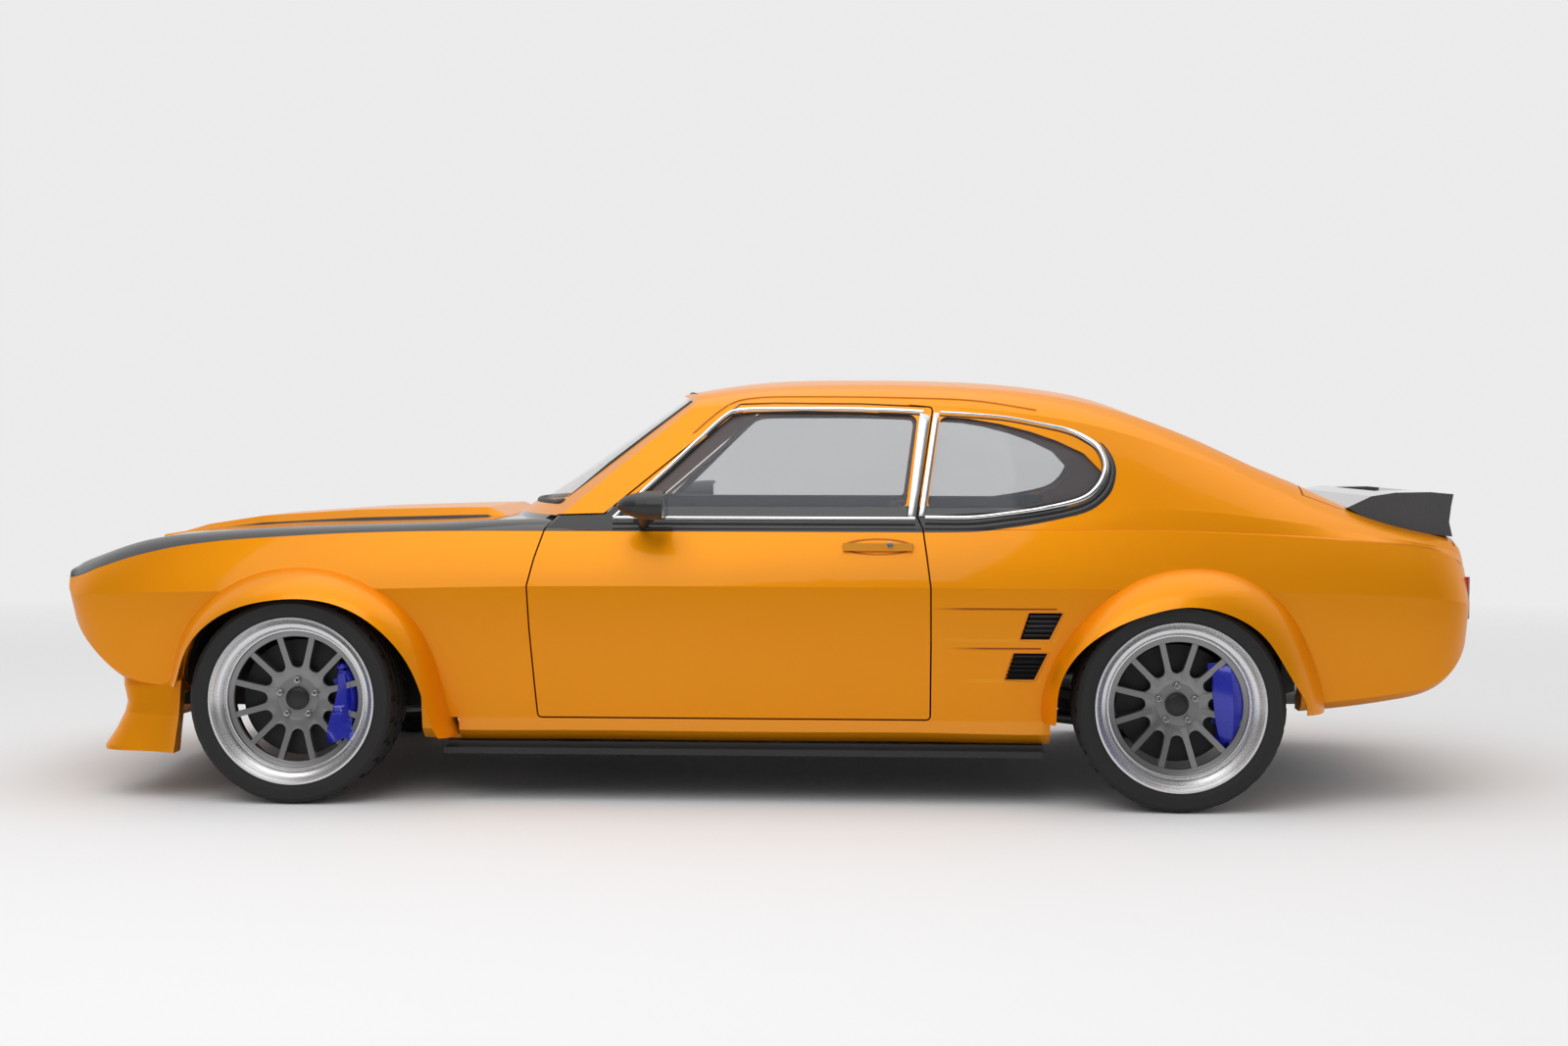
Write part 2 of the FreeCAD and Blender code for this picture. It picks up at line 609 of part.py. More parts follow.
def rounded_outline(points, radius):
    """Closed wire through the points with every corner rounded."""
    edges = []
    count = len(points)
    ends = []
    for i, corner in enumerate(points):
        before = (points[i - 1] - corner).normalize()
        after = (points[(i + 1) % count] - corner).normalize()
        half = math.acos(max(-1.0, min(1.0, before.dot(after)))) / 2
        reach = min(radius / math.tan(half), (points[i - 1] - corner).Length / 3,
                    (points[(i + 1) % count] - corner).Length / 3)
        start, finish = corner + before * reach, corner + after * reach
        bisector = (before + after)
        size = reach * math.tan(half)
        if bisector.Length < 0.02:
            ends.append((start, None, finish))
            continue
        centre = corner + bisector.normalize() * (reach / math.cos(half))
        middle = centre - bisector * size
        ends.append((start, middle, finish))
    for i, (start, middle, finish) in enumerate(ends):
        if middle is None:
            edges.append(Part.LineSegment(start, finish).toShape())
        else:
            edges.append(Part.Arc(start, middle, finish).toShape())
        edges.append(Part.LineSegment(finish, ends[(i + 1) % count][0]).toShape())
    return Part.Wire(edges)


def side_prism(shares, y0, y1, radius=0.0, grow=0.0):
    """Prism across the car from an outline in shares of the body reach and roof height."""
    points = [V(x * BODY_REACH, y0, z * ROOF_TOP) for x, z in shares]
    wire = rounded_outline(points, radius) if radius else Part.makePolygon(points + [points[0]])
    if grow:
        wire = wire.makeOffset2D(grow)
    return Part.Face(wire).extrude(V(0, y1 - y0, 0))


def turned(profile, x, z, side=-1.0):
    """Solid of revolution about a cross-car axis through x, z from (reach from the middle, radius) points."""
    points = [V(x, side * y, z + r) for y, r in profile]
    return flat_face(points).revolve(V(x, 0, z), V(0, 1, 0), 360)


def rod(a, b, radius):
    return Part.makeCylinder(radius, (b - a).Length, a, b - a)


# Windscreen surface and the space behind it

def screen_prism(shift=0.0, half_width=BODY_HALF_WIDTH, drop=0.0):
    """Everything behind the curved windscreen sheet, moved back by a depth."""
    rise = SCREEN_TOP_Z - SCREEN_BASE_Z
    run = SCREEN_TOP_X - SCREEN_BASE_X
    low = SCREEN_BASE_Z - OVERRUN
    base_x = SCREEN_BASE_X + shift - run * OVERRUN / rise
    radius = (SCREEN_SAG_WIDTH ** 2 + SCREEN_SAG ** 2) / (2 * SCREEN_SAG)
    sag = radius - math.sqrt(radius ** 2 - half_width ** 2)
    left = V(base_x + sag, -half_width, low)
    right = V(base_x + sag, half_width, low)
    front = Part.Arc(left, V(base_x, 0, low), right).toShape()
    back_x = BODY_REACH + OVERRUN
    corners = [right, V(back_x, half_width, low), V(back_x, -half_width, low), left]
    sides = [Part.LineSegment(a, b).toShape() for a, b in zip(corners, corners[1:])]
    height = ROOF_TOP + OVERRUN - low
    return Part.Face(Part.Wire([front] + sides)).extrude(V(run * height / rise, 0, height))


def stations(shares, first, last):
    return [s for s in shares if first <= s <= last]


def lower_form():
    return body_loft(lower_points, LOWER_BOW_SHARES, LOWER_STATION_SHARES)


def upper_form():
    return body_loft(upper_points, UPPER_BOW_SHARES, UPPER_STATION_SHARES).common(screen_prism())


def side_cavity():
    """Hollow of the cabin and boot inside the door and quarter walls."""
    inner = stations(LOWER_STATION_SHARES, -0.45, 0.95)
    low = body_loft(lower_points, LOWER_BOW_SHARES, inner, SIDE_WALL, FLOOR_WALL)
    front = box(BULKHEAD_X, BODY_REACH, -BODY_HALF_WIDTH, BODY_HALF_WIDTH, 0, ROOF_TOP)
    return low.common(front)


def roof_cavity(depth=FRAME_WALL):
    inner = stations(UPPER_STATION_SHARES, -0.39, 0.96)
    shell = body_loft(upper_points, UPPER_BOW_SHARES, inner, depth, 0.0, SIDE_WALL)
    rise = SCREEN_TOP_Z - SCREEN_BASE_Z
    return shell.common(screen_prism(depth * math.hypot(rise, SCREEN_TOP_X - SCREEN_BASE_X) / rise))


# Wheel wells and flares

def wheel_well(x, outer_y):
    """Room for one left wheel, from the inner arch to the skin."""
    return Part.makeCylinder(WELL_RADIUS, outer_y - WELL_INNER_Y, V(x, -outer_y, TYRE_RADIUS), V(0, 1, 0))


def well_cut(x):
    inner = wheel_well(x, FLARE_SKIN_Y)
    low = box(x - WELL_RADIUS, x + WELL_RADIUS, -FLARE_SKIN_Y, -WELL_INNER_Y, 0, TYRE_RADIUS)
    return inner.fuse(low)


def flare_section(x, angle, outer, lip, reach):
    """Section of a flared arch in the plane through the hub at one angle from straight ahead."""
    turn = math.radians(angle)
    ray = V(-math.cos(turn), 0, math.sin(turn))
    hub = V(x, 0, TYRE_RADIUS)

    def at(radius, y):
        return hub + ray * radius + V(0, -y, 0)

    depth = outer - lip
    root_y = reach - FLARE_ROOT_SINK * 2
    inner = lip + depth * FLARE_INNER_SHARE
    swell_y = FLARE_Y - (FLARE_Y - reach) * FLARE_FALL_SHARE
    outer_root = at(outer + FLARE_SKIN * 0.5, root_y)
    lip_top = at(lip, FLARE_Y)
    outside = Part.BSplineCurve()
    outside.interpolate([outer_root, at(outer, reach - FLARE_SKIN * 0.5),
                         at(lip + depth * FLARE_SWELL_SHARE, swell_y), lip_top])
    lip_inner = at(lip, FLARE_SKIN_Y)
    inner_root = at(inner, root_y)
    inside = Part.BSplineCurve()
    inside.interpolate([lip_inner, at(lip + depth * FLARE_SWELL_SHARE * 0.8, swell_y - FLARE_SKIN * 1.6),
                        at(inner, reach - FLARE_SKIN * 2), inner_root])
    ends = [Part.LineSegment(lip_top, lip_inner).toShape(), inside.toShape(),
            Part.LineSegment(inner_root, outer_root).toShape()]
    return Part.Wire([outside.toShape()] + ends)


def flare(x, shares):
    """Flared arch of one left wheel, hollow behind its lip."""
    wires = []
    for angle, outer, lip in shares:
        turn = math.radians(angle)
        place = x - math.cos(turn) * outer * TYRE_RADIUS
        height = TYRE_RADIUS + math.sin(turn) * outer * TYRE_RADIUS
        crease = width_at(CREASE_WIDTH_SHARES, place)
        crease_z = height_at(CREASE_HEIGHT_SHARES, place)
        shoulder = width_at(SHOULDER_WIDTH_SHARES, place)
        shoulder_z = height_at(SHOULDER_HEIGHT_SHARES, place)
        above = max(0.0, (height - crease_z) / (shoulder_z - crease_z))
        below = max(0.0, (crease_z - height) / crease_z)
        reach = crease - (crease - shoulder) * above - crease * (1 - ROCKER_WIDTH_SHARE) * below
        wires.append(flare_section(x, angle, outer * TYRE_RADIUS, lip * TYRE_RADIUS, reach))
    return Part.makeLoft(wires, True, False)


# Body panels

def grown_door(side_y, depth_y):
    return side_prism(DOOR_SHARES, side_y, depth_y, DOOR_CORNER, SHUT_GAP)


def door_space():
    return grown_door(-BODY_HALF_WIDTH - OVERRUN, -WELL_INNER_Y * 0.7)


def screen_outline(grow=0.0):
    """Prism along the car through the windscreen aperture, seen from ahead."""
    points = [V(-BODY_REACH, y * BODY_HALF_WIDTH, z * ROOF_TOP) for y, z in SCREEN_SHARES]
    points += [V(p.x, -p.y, p.z) for p in reversed(points)]
    wire = rounded_outline(points, SCREEN_CORNER)
    if grow:
        wire = wire.makeOffset2D(grow)
    return Part.Face(wire).extrude(V(BODY_REACH, 0, 0))


def plan_prism(shares, z0, z1, radius=0.0, grow=0.0):
    """Upright prism from a symmetrical outline in shares of the body reach and half width."""
    points = [V(x * BODY_REACH, -y * BODY_HALF_WIDTH, z0) for x, y in shares]
    points += [V(p.x, -p.y, p.z) for p in reversed(points)]
    wire = rounded_outline(points, radius) if radius else Part.makePolygon(points + [points[0]])
    if grow:
        wire = wire.makeOffset2D(grow)
    return Part.Face(wire).extrude(V(0, 0, z1 - z0))


def bonnet_prism(grow=0.0):
    """Upright prism over the bonnet, whose sides follow the crown of the wings."""
    run = BONNET_REAR_X - BONNET_FRONT_X + 2 * grow
    places = [BONNET_FRONT_X - grow + run * share for share in BONNET_EDGE_SHARES]
    left = [V(x, -width_at(CROWN_WIDTH_SHARES, x) + BONNET_EDGE_INSET - grow, BELOW_BONNET_Z) for x in places]
    right = [V(p.x, -p.y, p.z) for p in reversed(left)]
    curve, other = Part.BSplineCurve(), Part.BSplineCurve()
    curve.interpolate(left)
    other.interpolate(right)
    wire = Part.Wire([curve.toShape(), Part.LineSegment(left[-1], right[0]).toShape(), other.toShape(),
                      Part.LineSegment(right[-1], left[0]).toShape()])
    return Part.Face(wire).extrude(V(0, 0, ROOF_TOP))


def bulge():
    """Raised centre of the bonnet, its sides sloped and its rear end dropping to the scuttle."""
    wires = []
    for share, top_share in BULGE_HEIGHT_SHARES:
        x = share * BODY_REACH
        run = (x - BULGE_FRONT_X) / (BULGE_REAR_TOP_X - BULGE_FRONT_X)
        half = BULGE_HALF_WIDTH_FRONT + (BULGE_HALF_WIDTH_REAR - BULGE_HALF_WIDTH_FRONT) * run
        top = top_share * ROOF_TOP
        low = height_at(HOOD_HEIGHT_SHARES, x) - BULGE_SINK
        points = [V(x, -half - BULGE_SLOPE, low), V(x, -half, top), V(x, half, top),
                  V(x, half + BULGE_SLOPE, low)]
        wires.append(Part.makePolygon(points + [points[0]]))
    x = BULGE_REAR_X
    low = height_at(HOOD_HEIGHT_SHARES, x) - BULGE_SINK
    half = BULGE_HALF_WIDTH_REAR
    points = [V(x, -half - BULGE_SLOPE, low), V(x, -half, low + BULGE_SINK), V(x, half, low + BULGE_SINK),
              V(x, half + BULGE_SLOPE, low)]
    wires.append(Part.makePolygon(points + [points[0]]))
    return Part.makeLoft(wires, True, True)


def chin():
    """Body-coloured dam round the nose, from its neck out to the flared lower lip."""
    outer = []
    inner = []
    for (height, front, half), bow in zip(CHIN_LEVEL_SHARES, CHIN_BOW_SHARES):
        z, x, y = height * ROOF_TOP, front * BODY_REACH, half * BODY_HALF_WIDTH
        for wires, wall, extra in ((outer, 0.0, 0.0), (inner, CHIN_WALL, OVERRUN)):
            back = CHIN_REAR_X + extra
            points = [V(back, -y - CHIN_SWELL + wall, z), V((CHIN_REAR_X + x) / 2, -y + wall, z),
                      V(x + CHIN_BOW + wall, -y + CHIN_BOW * 0.6 + wall, z),
                      V(x + wall + CHIN_BOW * 0.25, -y * 0.72, z), V(x - CHIN_BOW * bow + wall, 0, z)]
            points += [V(p.x, -p.y, p.z) for p in reversed(points[:-1])]
            curve = Part.BSplineCurve()
            curve.interpolate(points)
            wires.append(Part.Wire([curve.toShape(), Part.LineSegment(points[-1], points[0]).toShape()]))
    shell = Part.makeLoft(outer, True, True).cut(Part.makeLoft(inner, True, True))
    return shell


def cut_all(shape, cutters):
    for cutter in cutters:
        shape = shape.cut(cutter)
    return shape


def whole(half_shape):
    """Full-width panel from its left half."""
    return half_shape.fuse(mirrored(half_shape)).removeSplitter()


def body_shapes():
    """Every panel of the body shell, cut from the outer forms and their hollows."""
    reach, half, top = BODY_REACH + OVERRUN, BODY_HALF_WIDTH + OVERRUN, ROOF_TOP + OVERRUN
    left_side = box(-reach, reach, -half, 0, -OVERRUN, top)
    lower, upper = lower_form().common(left_side), upper_form().common(left_side)
    cabin, roofing = side_cavity(), roof_cavity()
    bay_form = body_loft(lower_points, LOWER_BOW_SHARES, stations(LOWER_STATION_SHARES, -0.98, -0.25),
                         WING_WALL, FLOOR_WALL)
    under_bay = box(NOSE_REAR_X, BULKHEAD_X, -QUARTER_INNER_Y, QUARTER_INNER_Y, 0, RAIL_TOP_Z)
    bay = bay_form.common(box(-reach, BULKHEAD_X, -half, half, -OVERRUN, top)).fuse(under_bay)
    hollow = cabin.fuse(roofing)
    front_well, rear_well = well_cut(FRONT_AXLE_X), well_cut(REAR_AXLE_X)
    shapes = {"cabin": cabin, "bay": bay}

    # Side of the body as one wall, from which the door and the quarter are cut
    side_box = box(SPLIT_X - OVERRUN, reach, -half, 0, -OVERRUN, top)
    side = lower.common(side_box).fuse(upper).cut(hollow)
    doorway = door_space()
    window = side_prism(DOOR_WINDOW_SHARES, -half, -WELL_INNER_Y * 0.7, WINDOW_CORNER)
    quarter_window = side_prism(QUARTER_WINDOW_SHARES, -half, -WELL_INNER_Y * 0.7, WINDOW_CORNER)
    shapes["door_left"] = side.common(side_prism(DOOR_SHARES, -half, -WELL_INNER_Y * 0.7, DOOR_CORNER)).cut(window)

    # Panes
    inner = stations(UPPER_STATION_SHARES, -0.39, 0.97)
    pane = body_loft(upper_points, UPPER_BOW_SHARES, inner, GLASS_INSET).common(left_side).cut(
        body_loft(upper_points, UPPER_BOW_SHARES, inner, GLASS_INSET + GLASS_THICKNESS, -FLOOR_WALL))
    shapes["door_glass_left"] = pane.common(window)
    rear_opening = plan_prism(REAR_WINDOW_SHARES, REAR_WINDOW_LOW_Z, top, WINDOW_CORNER)
    panes = [both(pane.common(quarter_window)), whole(pane.common(rear_opening))]
    shapes["rear_glass"] = Part.makeCompound(panes)
    rise, run = SCREEN_TOP_Z - SCREEN_BASE_Z, SCREEN_TOP_X - SCREEN_BASE_X
    rake = math.hypot(run, rise) / rise
    aperture = screen_outline()
    block = body_loft(upper_points, UPPER_BOW_SHARES, UPPER_STATION_SHARES).common(left_side)
    near = block.common(screen_prism(GLASS_INSET * rake))
    screen = near.cut(screen_prism((GLASS_INSET + GLASS_THICKNESS) * rake)).common(aperture)
    shapes["windscreen"] = whole(screen)

    # Roof with the screen pillars
    roof_space = side_prism(ROOF_SHARES, -half, half)
    roof = cut_all(upper.cut(roofing), (doorway, quarter_window, aperture, rear_opening)).common(roof_space)
    shapes["roof"] = whole(roof)

    # Floor with its sills
    sill_box = box(SILL_FRONT_X, SILL_REAR_X, -half, half, 0, SILL_TOP_Z)
    shapes["sills"] = whole(cut_all(lower.common(sill_box), (cabin, bay, front_well, rear_well)))

    # Bonnet, nose, scuttle and wings
    front = lower.common(box(-reach, SPLIT_X, -half, half, -OVERRUN, top)).cut(bay)
    lid = front.common(bonnet_prism()).common(box(-reach, BONNET_REAR_X, -half, half, BELOW_BONNET_Z, top))
    shapes["bonnet"] = whole(lid).fuse(bulge())
    front = front.cut(bonnet_prism(SHUT_GAP))
    middle = box(-reach, NOSE_REAR_X, -NOSE_HALF_WIDTH, NOSE_HALF_WIDTH, -OVERRUN, top)
    shapes["nose_panel"] = whole(front.common(middle))
    scuttle_box = box(BONNET_REAR_X + SHUT_GAP, SCUTTLE_REAR_X, -SCUTTLE_HALF_WIDTH, SCUTTLE_HALF_WIDTH,
                      SCUTTLE_LOW_Z, top)
    cowl = lower.common(scuttle_box).fuse(upper.common(scuttle_box))
    shapes["scuttle"] = whole(cut_all(cowl, (hollow, bay, aperture, doorway, roof_space)))
    shapes["wing_left"] = cut_all(front, (middle, scuttle_box, cabin, front_well, doorway, sill_box))

    # Boot lid, tail and quarter
    lid_box = box(BOOT_FRONT_X, BOOT_REAR_X, -BOOT_HALF_WIDTH, BOOT_HALF_WIDTH, BOOT_LOW_Z, top)
    gap_box = box(BOOT_FRONT_X - SHUT_GAP, BOOT_REAR_X + SHUT_GAP, -BOOT_HALF_WIDTH - SHUT_GAP,
                  BOOT_HALF_WIDTH + SHUT_GAP, BOOT_LOW_Z - SHUT_GAP, top)
    shapes["boot_lid"] = whole(lower.common(lid_box).fuse(upper.common(lid_box)).cut(hollow))
    tail_box = box(TAIL_FRONT_X, reach, -TAIL_HALF_WIDTH, TAIL_HALF_WIDTH, -OVERRUN, top)
    tail = lower.common(tail_box).fuse(upper.common(tail_box))
    shapes["tail_panel"] = whole(cut_all(tail, (hollow, gap_box)))
    under = box(SILL_REAR_X - OVERRUN, TAIL_FRONT_X, -QUARTER_INNER_Y, QUARTER_INNER_Y, -OVERRUN, BOOT_LOW_Z * 0.6)
    before = box(-reach, DOOR_REAR_X, -half, 0, -OVERRUN, top)
    shapes["quarter_left"] = cut_all(side, (before, doorway, roof_space, quarter_window, rear_opening, gap_box,
                                            tail_box, under, sill_box, rear_well))
    return shapes


# Wheels, tyres and brakes, built for the left side

def tyre(x, lip_y):
    outer = lip_y + (TYRE_WIDTH - RIM_WIDTH) / 2
    inner = outer - TYRE_WIDTH
    bead = RIM_SEAT_RADIUS + SEAT_GAP
    profile = [
        (lip_y - RIM_LIP - SEAT_GAP, bead), (lip_y - RIM_LIP - SEAT_GAP, RIM_RADIUS + SEAT_GAP),
        (outer, TYRE_RADIUS - TYRE_SHOULDER), (outer - TYRE_SHOULDER, TYRE_RADIUS),
        (inner + TYRE_SHOULDER, TYRE_RADIUS), (inner, TYRE_RADIUS - TYRE_SHOULDER),
        (lip_y - RIM_WIDTH + RIM_LIP + SEAT_GAP, RIM_RADIUS + SEAT_GAP),
        (lip_y - RIM_WIDTH + RIM_LIP + SEAT_GAP, bead),
    ]
    return turned(profile, x, TYRE_RADIUS)


def spoke_gaps(x, near_y, far_y):
    """Round-ended gaps between the spokes, each as wide as the spokes leave."""
    step = math.pi / SPOKE_COUNT
    near = SPOKE_WIDTH / 2
    inner = SPOKE_ROOT_RADIUS + HUB_PAD_RADIUS * 0.2
    rim = RIM_RING_RADIUS + RIM_WALL
    gaps = []
    for index in range(SPOKE_COUNT):
        turn = 2 * step * index

        def at(radius, side):
            across = radius * math.sin(step) - near / math.cos(step)
            along_ray = radius * math.cos(step)
            px = along_ray * math.cos(turn) - side * across * math.sin(turn)
            pz = along_ray * math.sin(turn) + side * across * math.cos(turn)
            return V(x + px, -near_y, TYRE_RADIUS + pz)

        def on_ray(radius):
            return V(x + radius * math.cos(turn), -near_y, TYRE_RADIUS + radius * math.sin(turn))

        low = inner * math.cos(step) - (inner * math.sin(step) - near / math.cos(step)) * 0.9
        edges = [
            Part.Arc(at(inner, 1), on_ray(low), at(inner, -1)).toShape(),
            Part.LineSegment(at(inner, -1), at(rim, -1)).toShape(),
            Part.Arc(at(rim, -1), on_ray(rim), at(rim, 1)).toShape(),
            Part.LineSegment(at(rim, 1), at(inner, 1)).toShape(),
        ]
        gaps.append(Part.Face(Part.Wire(edges)).extrude(V(0, near_y - far_y, 0)))
    return gaps


def wheel(x, lip_y, set_back):
    """Rim with its stepped lip, spoked centre, lug nuts and the brake disc bolted behind it."""
    hub = lip_y - set_back
    ring = lip_y - RIM_RING_DEPTH
    far = lip_y - RIM_WIDTH
    barrel = turned([
        (lip_y, RIM_RADIUS), (lip_y - RIM_LIP, RIM_RADIUS), (lip_y - RIM_LIP, RIM_SEAT_RADIUS),
        (far + RIM_LIP, RIM_SEAT_RADIUS), (far + RIM_LIP, RIM_RADIUS), (far, RIM_RADIUS),
        (far, RIM_SEAT_RADIUS - RIM_WALL), (ring - SPOKE_DEPTH * 2, RIM_SEAT_RADIUS - RIM_WALL),
        (ring - SPOKE_DEPTH, RIM_RING_RADIUS), (ring, RIM_RING_RADIUS), (ring + SPOKE_DEPTH, RIM_STEP_RADIUS),
        (lip_y - RIM_LIP * 2, RIM_STEP_RADIUS), (lip_y - RIM_LIP * 1.6, RIM_SEAT_RADIUS - RIM_WALL),
        (lip_y, RIM_RADIUS - RIM_WALL),
    ], x, TYRE_RADIUS)
    centre = turned([
        (hub - HUB_PAD_DEPTH, 0), (hub, 0), (hub, SPOKE_ROOT_RADIUS),
        (ring, RIM_RING_RADIUS + RIM_WALL * 0.5), (ring - SPOKE_DEPTH, RIM_RING_RADIUS + RIM_WALL * 0.5),
        (hub - SPOKE_DEPTH, HUB_PAD_RADIUS), (hub - HUB_PAD_DEPTH, HUB_PAD_RADIUS),
    ], x, TYRE_RADIUS)
    centre = centre.cut(Part.makeCompound(spoke_gaps(x, lip_y, hub - HUB_PAD_DEPTH)))
    shape = barrel.fuse(centre)
    cap = Part.makeCone(HUB_CAP_RADIUS, HUB_CAP_RADIUS - HUB_CAP_RISE / 2, HUB_CAP_RISE,
                        V(x, -hub, TYRE_RADIUS), V(0, -1, 0))
    shape = shape.fuse(cap)
    for index in range(LUG_COUNT):
        turn = 2 * math.pi * index / LUG_COUNT + math.pi / 2
        place = V(x + LUG_CIRCLE_RADIUS * math.cos(turn), -hub,
                  TYRE_RADIUS + LUG_CIRCLE_RADIUS * math.sin(turn))
        shape = shape.fuse(Part.makeCylinder(LUG_RADIUS, LUG_RISE, place, V(0, -1, 0)))
    face = hub - HUB_PAD_DEPTH
    disc_face = face - DISC_OFFSET
    disc = turned([
        (face, HUB_PAD_RADIUS - DISC_WALL * 2), (face, HUB_PAD_RADIUS - DISC_WALL * 0.5),
        (disc_face, DISC_HAT_RADIUS), (disc_face, DISC_RADIUS), (disc_face - DISC_THICKNESS, DISC_RADIUS),
        (disc_face - DISC_THICKNESS, DISC_HAT_RADIUS - DISC_WALL), (disc_face, DISC_HAT_RADIUS - DISC_WALL * 1.5),
    ], x, TYRE_RADIUS)
    return shape.fuse(disc)


def caliper(x, lip_y, set_back):
    """Caliper behind the axle, straddling the disc, with its bracket to the upright."""
    disc_face = lip_y - set_back - HUB_PAD_DEPTH - DISC_OFFSET
    near = disc_face + CALIPER_GAP
    far = disc_face - DISC_THICKNESS - CALIPER_GAP
    bridge = DISC_RADIUS + CALIPER_GAP
    points = [
        (near + CALIPER_CHEEK, CALIPER_INNER), (near + CALIPER_CHEEK, CALIPER_REACH),
        (far - CALIPER_CHEEK, CALIPER_REACH), (far - CALIPER_CHEEK, CALIPER_INNER), (far, CALIPER_INNER),
        (far, bridge), (near, bridge), (near, CALIPER_INNER),
    ]
    turn = math.radians(CALIPER_HALF_ANGLE)
    face = flat_face([V(x + r * math.cos(turn), -y, TYRE_RADIUS - r * math.sin(turn)) for y, r in points])
    return face.revolve(V(x, 0, TYRE_RADIUS), V(0, -1, 0), 2 * CALIPER_HALF_ANGLE), far - CALIPER_CHEEK


def upright(x, lip_y, set_back, inner_y):
    """Spindle and carrier inside the disc, with the caliper's bracket."""
    hub_back = lip_y - set_back - HUB_PAD_DEPTH
    disc_back = hub_back - DISC_OFFSET - DISC_THICKNESS
    spindle = Part.makeCylinder(SPINDLE_RADIUS, hub_back - SEAT_GAP - inner_y, V(x, -hub_back + SEAT_GAP, TYRE_RADIUS),
                                V(0, 1, 0))
    carrier_y = disc_back - CALIPER_GAP
    carrier = Part.makeCylinder(KNUCKLE_RADIUS, carrier_y - inner_y, V(x, -carrier_y, TYRE_RADIUS), V(0, 1, 0))
    pads, cheek_y = caliper(x, lip_y, set_back)
    bracket = box(x + SPINDLE_RADIUS, x + CALIPER_INNER + CALIPER_CHEEK, -cheek_y - CALIPER_CHEEK * 0.6,
                  -cheek_y + CALIPER_CHEEK, TYRE_RADIUS - BRACKET_HALF_HEIGHT, TYRE_RADIUS + BRACKET_HALF_HEIGHT)
    return spindle.fuse(carrier).fuse(pads).fuse(bracket)


def knuckle():
    x = FRONT_AXLE_X
    shape = upright(x, FRONT_LIP_Y, FRONT_SET_BACK, KINGPIN_Y - KNUCKLE_RADIUS * 0.5)
    leg = Part.makeCylinder(KNUCKLE_LEG_RADIUS, KNUCKLE_HALF_HEIGHT * 2,
                            V(x, -KINGPIN_Y, TYRE_RADIUS - KNUCKLE_HALF_HEIGHT), V(0, 0, 1))
    return shape.fuse(leg)


def front_subframe():
    """Crossmember, lower arms, ball joints and struts with their feet."""
    x = FRONT_AXLE_X
    low = TYRE_RADIUS - KNUCKLE_HALF_HEIGHT - SEAT_GAP
    high = TYRE_RADIUS + KNUCKLE_HALF_HEIGHT + SEAT_GAP
    shape = box(x - CROSSMEMBER_LENGTH / 2, x + CROSSMEMBER_LENGTH / 2, -CROSSMEMBER_HALF_WIDTH,
                CROSSMEMBER_HALF_WIDTH, CROSSMEMBER_LOW_Z, RAIL_LOW_Z - SEAT_GAP)
    for side in (-1, 1):
        pin = V(x, side * KINGPIN_Y, low - ARM_RADIUS)
        joint = Part.makeCylinder(KNUCKLE_LEG_RADIUS, ARM_RADIUS * 2, pin - V(0, 0, ARM_RADIUS), V(0, 0, 1))
        root_y = side * (CROSSMEMBER_HALF_WIDTH - ARM_RADIUS)
        arm = rod(pin, V(x, root_y, low - ARM_RADIUS), ARM_RADIUS * 0.9)
        stay = rod(pin, V(x + ARM_SWEEP, root_y, low), ARM_RADIUS * 0.7)
        y0, y1 = sorted((side * (CROSSMEMBER_HALF_WIDTH - ARM_RADIUS * 2), side * CROSSMEMBER_HALF_WIDTH))
        bar = box(x, x + ARM_SWEEP + ARM_RADIUS, y0, y1, low - ARM_RADIUS, low + ARM_RADIUS)
        foot = Part.makeCylinder(KNUCKLE_LEG_RADIUS, ARM_RADIUS * 1.6, V(x, side * KINGPIN_Y, high), V(0, 0, 1))
        y0, y1 = sorted((side * STRUT_LOW_Y, side * KINGPIN_Y))
        link = box(x - ARM_RADIUS, x + ARM_RADIUS, y0, y1, high, high + ARM_RADIUS * 1.6)
        base = V(x, side * STRUT_LOW_Y, high + ARM_RADIUS * 0.8)
        strut = rod(base, V(x, side * STRUT_TOP_Y, STRUT_TOP_Z - ARM_RADIUS), STRUT_RADIUS)
        mount = Part.makeCylinder(STRUT_RADIUS * 2, ARM_RADIUS, V(x, side * STRUT_TOP_Y, STRUT_TOP_Z - ARM_RADIUS),
                                  V(0, 0, 1))
        y0, y1 = sorted((side * STRUT_TOP_Y, side * (WELL_INNER_Y + SEAT_GAP)))
        tower = box(x - STRUT_RADIUS * 2, x + STRUT_RADIUS * 2, y0, y1, STRUT_TOP_Z - ARM_RADIUS, STRUT_TOP_Z)
        for piece in (joint, arm, stay, bar, foot, link, strut, mount, tower):
            shape = shape.fuse(piece)
    return shape


